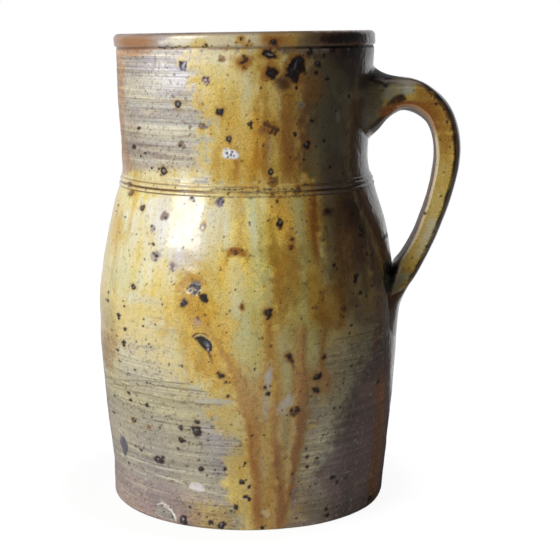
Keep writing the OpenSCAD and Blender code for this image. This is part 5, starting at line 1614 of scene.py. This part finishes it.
def lower_body():
    """The lower thrown section: foot, belly and shoulder, and the floor inside."""
    foot_r, centre_r = STATIONS[0][1], 0.6
    base = spaced([(centre_r, 0.0), (foot_r - FOOT_EDGE, 0.0)], 4.0)
    edge = spaced(arc(foot_r - FOOT_EDGE, FOOT_EDGE, FOOT_EDGE, -90, 0), 0.5)[1:]
    wall = beside_wall(np.arange(FOOT_EDGE + WALL_GAP, SEAM_Z, WALL_GAP))
    inner = beside_wall(np.arange(SEAM_Z, FLOOR_Z + BODY_WALL, -INSIDE_GAP), -BODY_WALL)
    r = inner[-1][0]
    corner = [(r, FLOOR_Z + 6.5), (r - 2.5, FLOOR_Z + 2.2), (r - 8, FLOOR_Z + 0.2), (centre_r, FLOOR_Z)]
    thrown("jug_lower_body", np.concatenate([base, edge, wall]),
           np.concatenate([inner, spaced(corner, INSIDE_GAP)[1:]]), "lower_body")


def neck():
    """The neck section, with the groove under its rolled lip."""
    wall = beside_wall(np.arange(SEAM_Z, LIP_Z - 1.2, WALL_GAP))
    r = wall_r(np.array([LIP_Z]))[0]
    lip = [(r - 0.05, LIP_Z - 0.9), (r - 0.4, LIP_Z - 0.6), (r - 0.5, LIP_Z - 0.25), (r - 0.2, LIP_Z)]
    lip += arc(r + LIP_PROUD - 1.4, LIP_Z + 1.5, 1.4, -62, 0)
    lip += arc(r + LIP_PROUD - LIP_EDGE, TOP_Z - LIP_EDGE, LIP_EDGE, 0, 90)
    lip += arc(r - NECK_WALL + LIP_EDGE, TOP_Z - LIP_EDGE, LIP_EDGE, 90, 180)
    inner = beside_wall(np.arange(TOP_Z - LIP_EDGE - 1.5, SEAM_Z, -INSIDE_GAP), -NECK_WALL)
    thrown("jug_neck", np.concatenate([wall, spaced(lip, 0.5)]), inner, "neck", lifted=True)


# The cordon's outline: (height, how proud of the wall), from its foot up
CORDON_SEAT = -1.2
CORDON = [(CORDON_LOW, CORDON_SEAT), (CORDON_LOW, -0.1), (169.75, 0.35), (170.3, 0.62), (170.9, 0.5),
          (171.25, 0.1), (171.55, -0.2), (171.9, 0.05), (172.3, 0.5), (172.9, 0.75), (173.5, 0.6),
          (173.9, 0.3), (174.25, 0.18), (174.7, 0.35), (175.2, 0.25), (CORDON_HIGH, 0),
          (CORDON_HIGH, CORDON_SEAT)]


def cordon():
    """The ring of clay over the seam."""
    outside = spaced(beside_wall(*np.array(CORDON).T), 0.4)
    seat = beside_wall(np.array([SEAM_Z]), CORDON_SEAT)
    thrown("jug_cordon", outside, seat, "shoulder_cordon")


# Handle: stations of (outer x, outer z, inner x, inner z, half width, how oval, how far bent round the wall,
# how far the outer face is crowned, roll towards the camera in degrees)
HANDLE = [
    (66.0, 238.4, 62.6, 187.4, 31.0, 1.0, 1.0, 1.0, 0),
    (66.8, 234.4, 65.0, 192.1, 27.5, 0.9, 1.0, 1.0, 0),
    (68.4, 231.4, 68.0, 195.3, 24.5, 0.7, 0.9, 1.0, -2),
    (71.2, 229.0, 71.6, 198.8, 21.8, 0.45, 0.65, 1.0, -1),
    (75.2, 227.2, 75.4, 203.5, 19.2, 0.25, 0.4, 1.1, 1),
    (80.4, 226.1, 79.4, 206.7, 17.2, 0.1, 0.15, 1.2, 3),
    (86.6, 225.1, 83.4, 208.5, 15.8, 0.0, 0.05, 1.4, 5),
    (92.8, 222.9, 87.9, 207.8, 15.0, 0.0, 0.0, 1.7, 6),
    (98.7, 219.5, 91.9, 205.7, 14.6, 0.0, 0.0, 2.2, 5),
    (104.4, 214.8, 95.4, 202.6, 14.5, 0.0, 0.0, 2.8, 3),
    (109.1, 208.2, 97.6, 198.5, 14.5, 0.0, 0.0, 3.4, 1),
    (112.3, 200.0, 99.0, 193.7, 14.5, 0.0, 0.0, 4.0, 0),
    (113.8, 190.6, 99.8, 187.4, 14.5, 0.0, 0.0, 4.6, 0),
    (113.5, 182.1, 99.7, 181.0, 14.5, 0.0, 0.0, 4.6, 0),
    (112.2, 174.4, 98.8, 174.2, 14.5, 0.0, 0.0, 4.6, 0),
    (110.4, 166.5, 97.3, 167.3, 14.5, 0.0, 0.0, 4.6, 0),
    (108.0, 158.4, 95.4, 159.9, 14.5, 0.0, 0.0, 4.6, 0),
    (105.1, 150.2, 93.0, 152.6, 14.5, 0.0, 0.0, 4.5, 0),
    (102.0, 141.8, 90.2, 144.9, 14.5, 0.0, 0.0, 4.4, 0),
    (98.2, 133.7, 86.5, 137.5, 14.5, 0.0, 0.0, 4.2, 0),
    (94.4, 126.2, 82.5, 131.1, 14.8, 0.0, 0.0, 4.0, 0),
    (91.0, 120.1, 78.8, 126.2, 15.8, 0.0, 0.1, 3.6, 0),
    (87.4, 114.3, 76.6, 120.6, 18.0, 0.1, 0.4, 3.0, 0),
    (85.0, 109.8, 76.8, 114.4, 21.4, 0.15, 0.8, 2.4, 0),
    (83.3, 105.3, 77.2, 108.0, 24.4, 0.2, 1.0, 2.0, 0),
    (82.3, 99.6, 77.6, 101.2, 26.0, 0.25, 1.0, 1.6, 0),
    (81.6, 93.2, 77.6, 94.6, 26.0, 0.35, 1.0, 1.3, 0),
    (81.1, 87.4, 77.4, 88.4, 23.0, 0.55, 1.0, 1.0, 0),
    (80.0, 82.2, 77.0, 83.0, 16.0, 1.0, 1.0, 0.8, 0),
]
RING, HANDLE_GAP, ROWS_BETWEEN = 144, 0.62, 40
OUTER_CORNER, INNER_CORNER, INNER_CROWN = 1.1, 1.2, 1.1


def smooth_rows(table, times):
    """Rows of stations between the given ones, on a curve through them."""
    p = np.array(table, float)
    p = np.concatenate([[2 * p[0] - p[1]], p, [2 * p[-1] - p[-2]]])
    t = (np.arange(times) / times)[:, None]
    a, b, c, d = (p[k:len(p) - 3 + k, None] for k in range(4))
    curves = b + 0.5 * ((c - a) * t + (2 * a - 5 * b + 4 * c - d) * t**2 + (3 * b - a - 3 * c + d) * t**3)
    return np.concatenate([curves.reshape(-1, p.shape[1]), p[-2:-1]])


def section(half_t, half_w, oval, crown):
    """The strap's section, as (out, across), from the middle of its outer face round by its near side."""
    crown, dip = min(crown, half_t * 0.7), min(INNER_CROWN, half_t * 0.3)
    ro, ri = min(OUTER_CORNER, half_t * 0.3), min(INNER_CORNER, half_t * 0.3)
    outer = [(half_t - crown * (x / half_w)**4, x) for x in np.linspace(0, half_w - ro, 20)]
    top, last = outer[-1][0], -half_t + dip
    outer_corner = [(top - ro + ro * math.cos(a), half_w - ro + ro * math.sin(a))
                    for a in np.linspace(0.5, math.pi / 2, 7)]
    inner_corner = [(last + ri - ri * math.sin(a), half_w - ri + ri * math.cos(a))
                    for a in np.linspace(0, 1.3, 7)]
    inner = [(-half_t + dip * (x / half_w)**2, x) for x in np.linspace(half_w - ri, 0, 12)]
    half = np.array(outer + outer_corner + inner_corner + inner)
    whole = np.concatenate([half * (1, -1), half[::-1][1:-1], half[:1] * (1, -1)])
    s = lengths(whole)
    rect = resampled(np.linspace(0, s[-1], RING, endpoint=False), s, whole)
    a = np.arange(RING) / RING * 2 * math.pi
    ellipse = np.stack([half_t * np.cos(a), -half_w * np.sin(a)], -1)
    return rect + (ellipse - rect) * oval


def handle():
    """The strap handle, from the flared root to the smeared tail, in sections along its middle line."""
    rows = smooth_rows(HANDLE, ROWS_BETWEEN)
    s = lengths((rows[:, :2] + rows[:, 2:4]) / 2)
    along_strap = np.linspace(0, s[-1], int(s[-1] / HANDLE_GAP))
    rows = resampled(along_strap, s, rows)
    outer, inner, half_w, oval = rows[:, :2], rows[:, 2:4], rows[:, 4:5], np.clip(rows[:, 5], 0, 1)
    bent, crown, roll = np.clip(rows[:, 6:7], 0, 1), rows[:, 7], np.radians(rows[:, 8:9])
    middle, out = (outer + inner) / 2, outer - inner
    half_t = np.linalg.norm(out, axis=1)[:, None] / 2
    out /= 2 * half_t
    sections = np.array([section(*v) for v in zip(half_t[:, 0], half_w[:, 0], oval, crown)])
    out_by, across = sections[..., 0], sections[..., 1]
    length = np.broadcast_to(along_strap[:, None], across.shape)
    turn = np.broadcast_to(np.arange(RING) / RING * 360, across.shape)
    wobble = 0.14 * noise(turn, length, 60, 9, 21, 2) * np.sign(out_by)
    proud = out_by * np.cos(roll) - across * np.sin(roll) + wobble
    x, z = (middle[:, k:k + 1] + proud * out[:, k:k + 1] for k in (0, 1))
    y = across * np.cos(roll) + out_by * np.sin(roll)
    bend = bent * (x - np.sqrt(np.maximum(x * x - y * y, 1)))
    lean = eased(z, LEAN) * ramp(np.abs(x), 95, 70)
    points = np.stack([x - bend + lean * math.cos(VIEW), y + lean * math.sin(VIEW), z], -1)
    skin = StrapSkin(points, length, turn, out_by / half_t, across / half_w)
    paint_handle(skin)
    make_piece("jug_handle", points.reshape(-1, 3), grid_faces(len(rows), RING, False), skin,
               ["handle_root", "handle_strap", "handle_tail"])


lower_body()
neck()
cordon()
handle()


# Window light, room, floor and camera
def window_light():
    """The window at the left, as a lamp that faces the jug."""
    far, side, high, aim_z = 1200, VIEW_SIDE - 53, 27, 140
    climb = math.radians(high)
    lamp = bpy.data.lights.new("window", "AREA")
    lamp.shape = "RECTANGLE"
    lamp.size, lamp.size_y = 0.58, 0.75
    lamp.energy = 13.5
    lamp.color = (1.0, 0.98, 0.95)
    o = put_in_scene("window", lamp)
    o.location = on_side(side, far * math.cos(climb), far * math.sin(climb) + aim_z) * MM
    o.rotation_euler = (math.radians(90 - high), 0, math.radians(side))


def studio():
    """White to the camera, a white backdrop behind the jug for reflections, and a dim room elsewhere."""
    w = bpy.data.worlds.new("studio")
    bpy.context.scene.world = w
    w.use_nodes = True
    t = w.node_tree
    t.nodes.clear()
    path = node(t, "LightPath", (-600, 300)).outputs
    ray = node(t, "TexCoord", (-1000, -200)).outputs["Generated"]
    behind = far_away(t, ray, 0.60, 0.72, (-800, -200), 0.72)
    mirrored = node(t, "Math", (-400, 0), {0: path["Is Glossy Ray"], 1: behind}, operation="MULTIPLY")
    shown = node(t, "Math", (-200, 200), {0: path["Is Camera Ray"], 1: mirrored}, operation="MAXIMUM")
    white = node(t, "Background", (0, 200), {"Color": grey(1)})
    room = node(t, "Background", (0, 0), {"Color": (0.95, 0.97, 1, 1), "Strength": 0.062})
    mix = node(t, "MixShader", (400, 100), {0: shown, 1: room, 2: white})
    node(t, "OutputWorld", (800, 0), {0: mix})


def floor():
    """A pale floor, of which the camera sees only the shadow at the foot."""
    half = 1.6
    mesh = bpy.data.meshes.new("floor")
    corners = [(-half, -half, 0), (half, -half, 0), (half, half, 0), (-half, half, 0)]
    mesh.from_pydata(corners, [], [(0, 1, 2, 3)])
    put_in_scene("floor", mesh)
    m = bpy.data.materials.new("pale_floor")
    m.use_nodes = True
    mesh.materials.append(m)
    t = m.node_tree
    path = node(t, "LightPath", (-300, 500)).outputs
    place = node(t, "TexCoord", (-1100, -300)).outputs["Object"]
    # To the camera the floor is all but white, and white further from the jug
    from_left = node(t, "VectorMath", (-900, -300), {0: place, 1: (0.014, 0, 0)}, operation="ADD")
    reach = node(t, "VectorMath", (-700, -300), {0: from_left}, operation="LENGTH").outputs["Value"]
    rise = levels(t, reach, 0.076, 0.125, (-500, -300), 0.92, 1.0, "SMOOTHSTEP")
    glow = node(t, "Emission", (0, -300), {"Color": grey(1), "Strength": rise})
    matt = node(t, "BsdfDiffuse", (0, -100), {"Color": grey(0.10)})
    to_camera = node(t, "AddShader", (300, -100), {0: matt, 1: glow})
    # In reflections the floor behind the jug is as white as the backdrop
    behind = far_away(t, place, 0.10, 0.22, (-900, 0))
    heading = node(t, "VectorMath", (-900, 200), {0: place}, operation="NORMALIZE")
    facing = far_away(t, heading, 0.62, 0.76, (-700, 200))
    back = node(t, "Math", (-500, 0), {0: behind, 1: facing}, operation="MULTIPLY")
    shown = node(t, "Math", (-350, 0), {0: back, 1: path["Is Glossy Ray"]}, operation="MULTIPLY")
    backdrop = node(t, "Emission", (-300, 0), {"Color": grey(0.72)})
    shader = t.nodes["Principled BSDF"]
    feed(t, shader, {"Base Color": grey(0.75), "Roughness": 1.0, "Specular IOR Level": 0.0})
    to_glaze = node(t, "MixShader", (-100, 200), {0: shown, 1: shader, 2: backdrop})
    mix = node(t, "MixShader", (500, 100), {0: path["Is Camera Ray"], 1: to_glaze, 2: to_camera})
    feed(t, t.nodes["Material Output"], {0: mix})


def camera():
    """The camera that took the photograph."""
    cam = bpy.data.cameras.new("camera")
    cam.sensor_width = 36.0
    cam.lens = cam.sensor_width * FOCAL_PX / FRAME_PX
    cam.clip_start, cam.clip_end = 0.01, 20
    o = put_in_scene("camera", cam)
    axes = np.eye(4)
    axes[:3] = np.stack([RIGHT, UP, -FORWARD, EYE * MM], -1)
    o.matrix_world = Matrix(axes.tolist())
    bpy.context.scene.camera = o


window_light()
studio()
floor()
camera()
bpy.context.scene.view_settings.view_transform = "Standard"
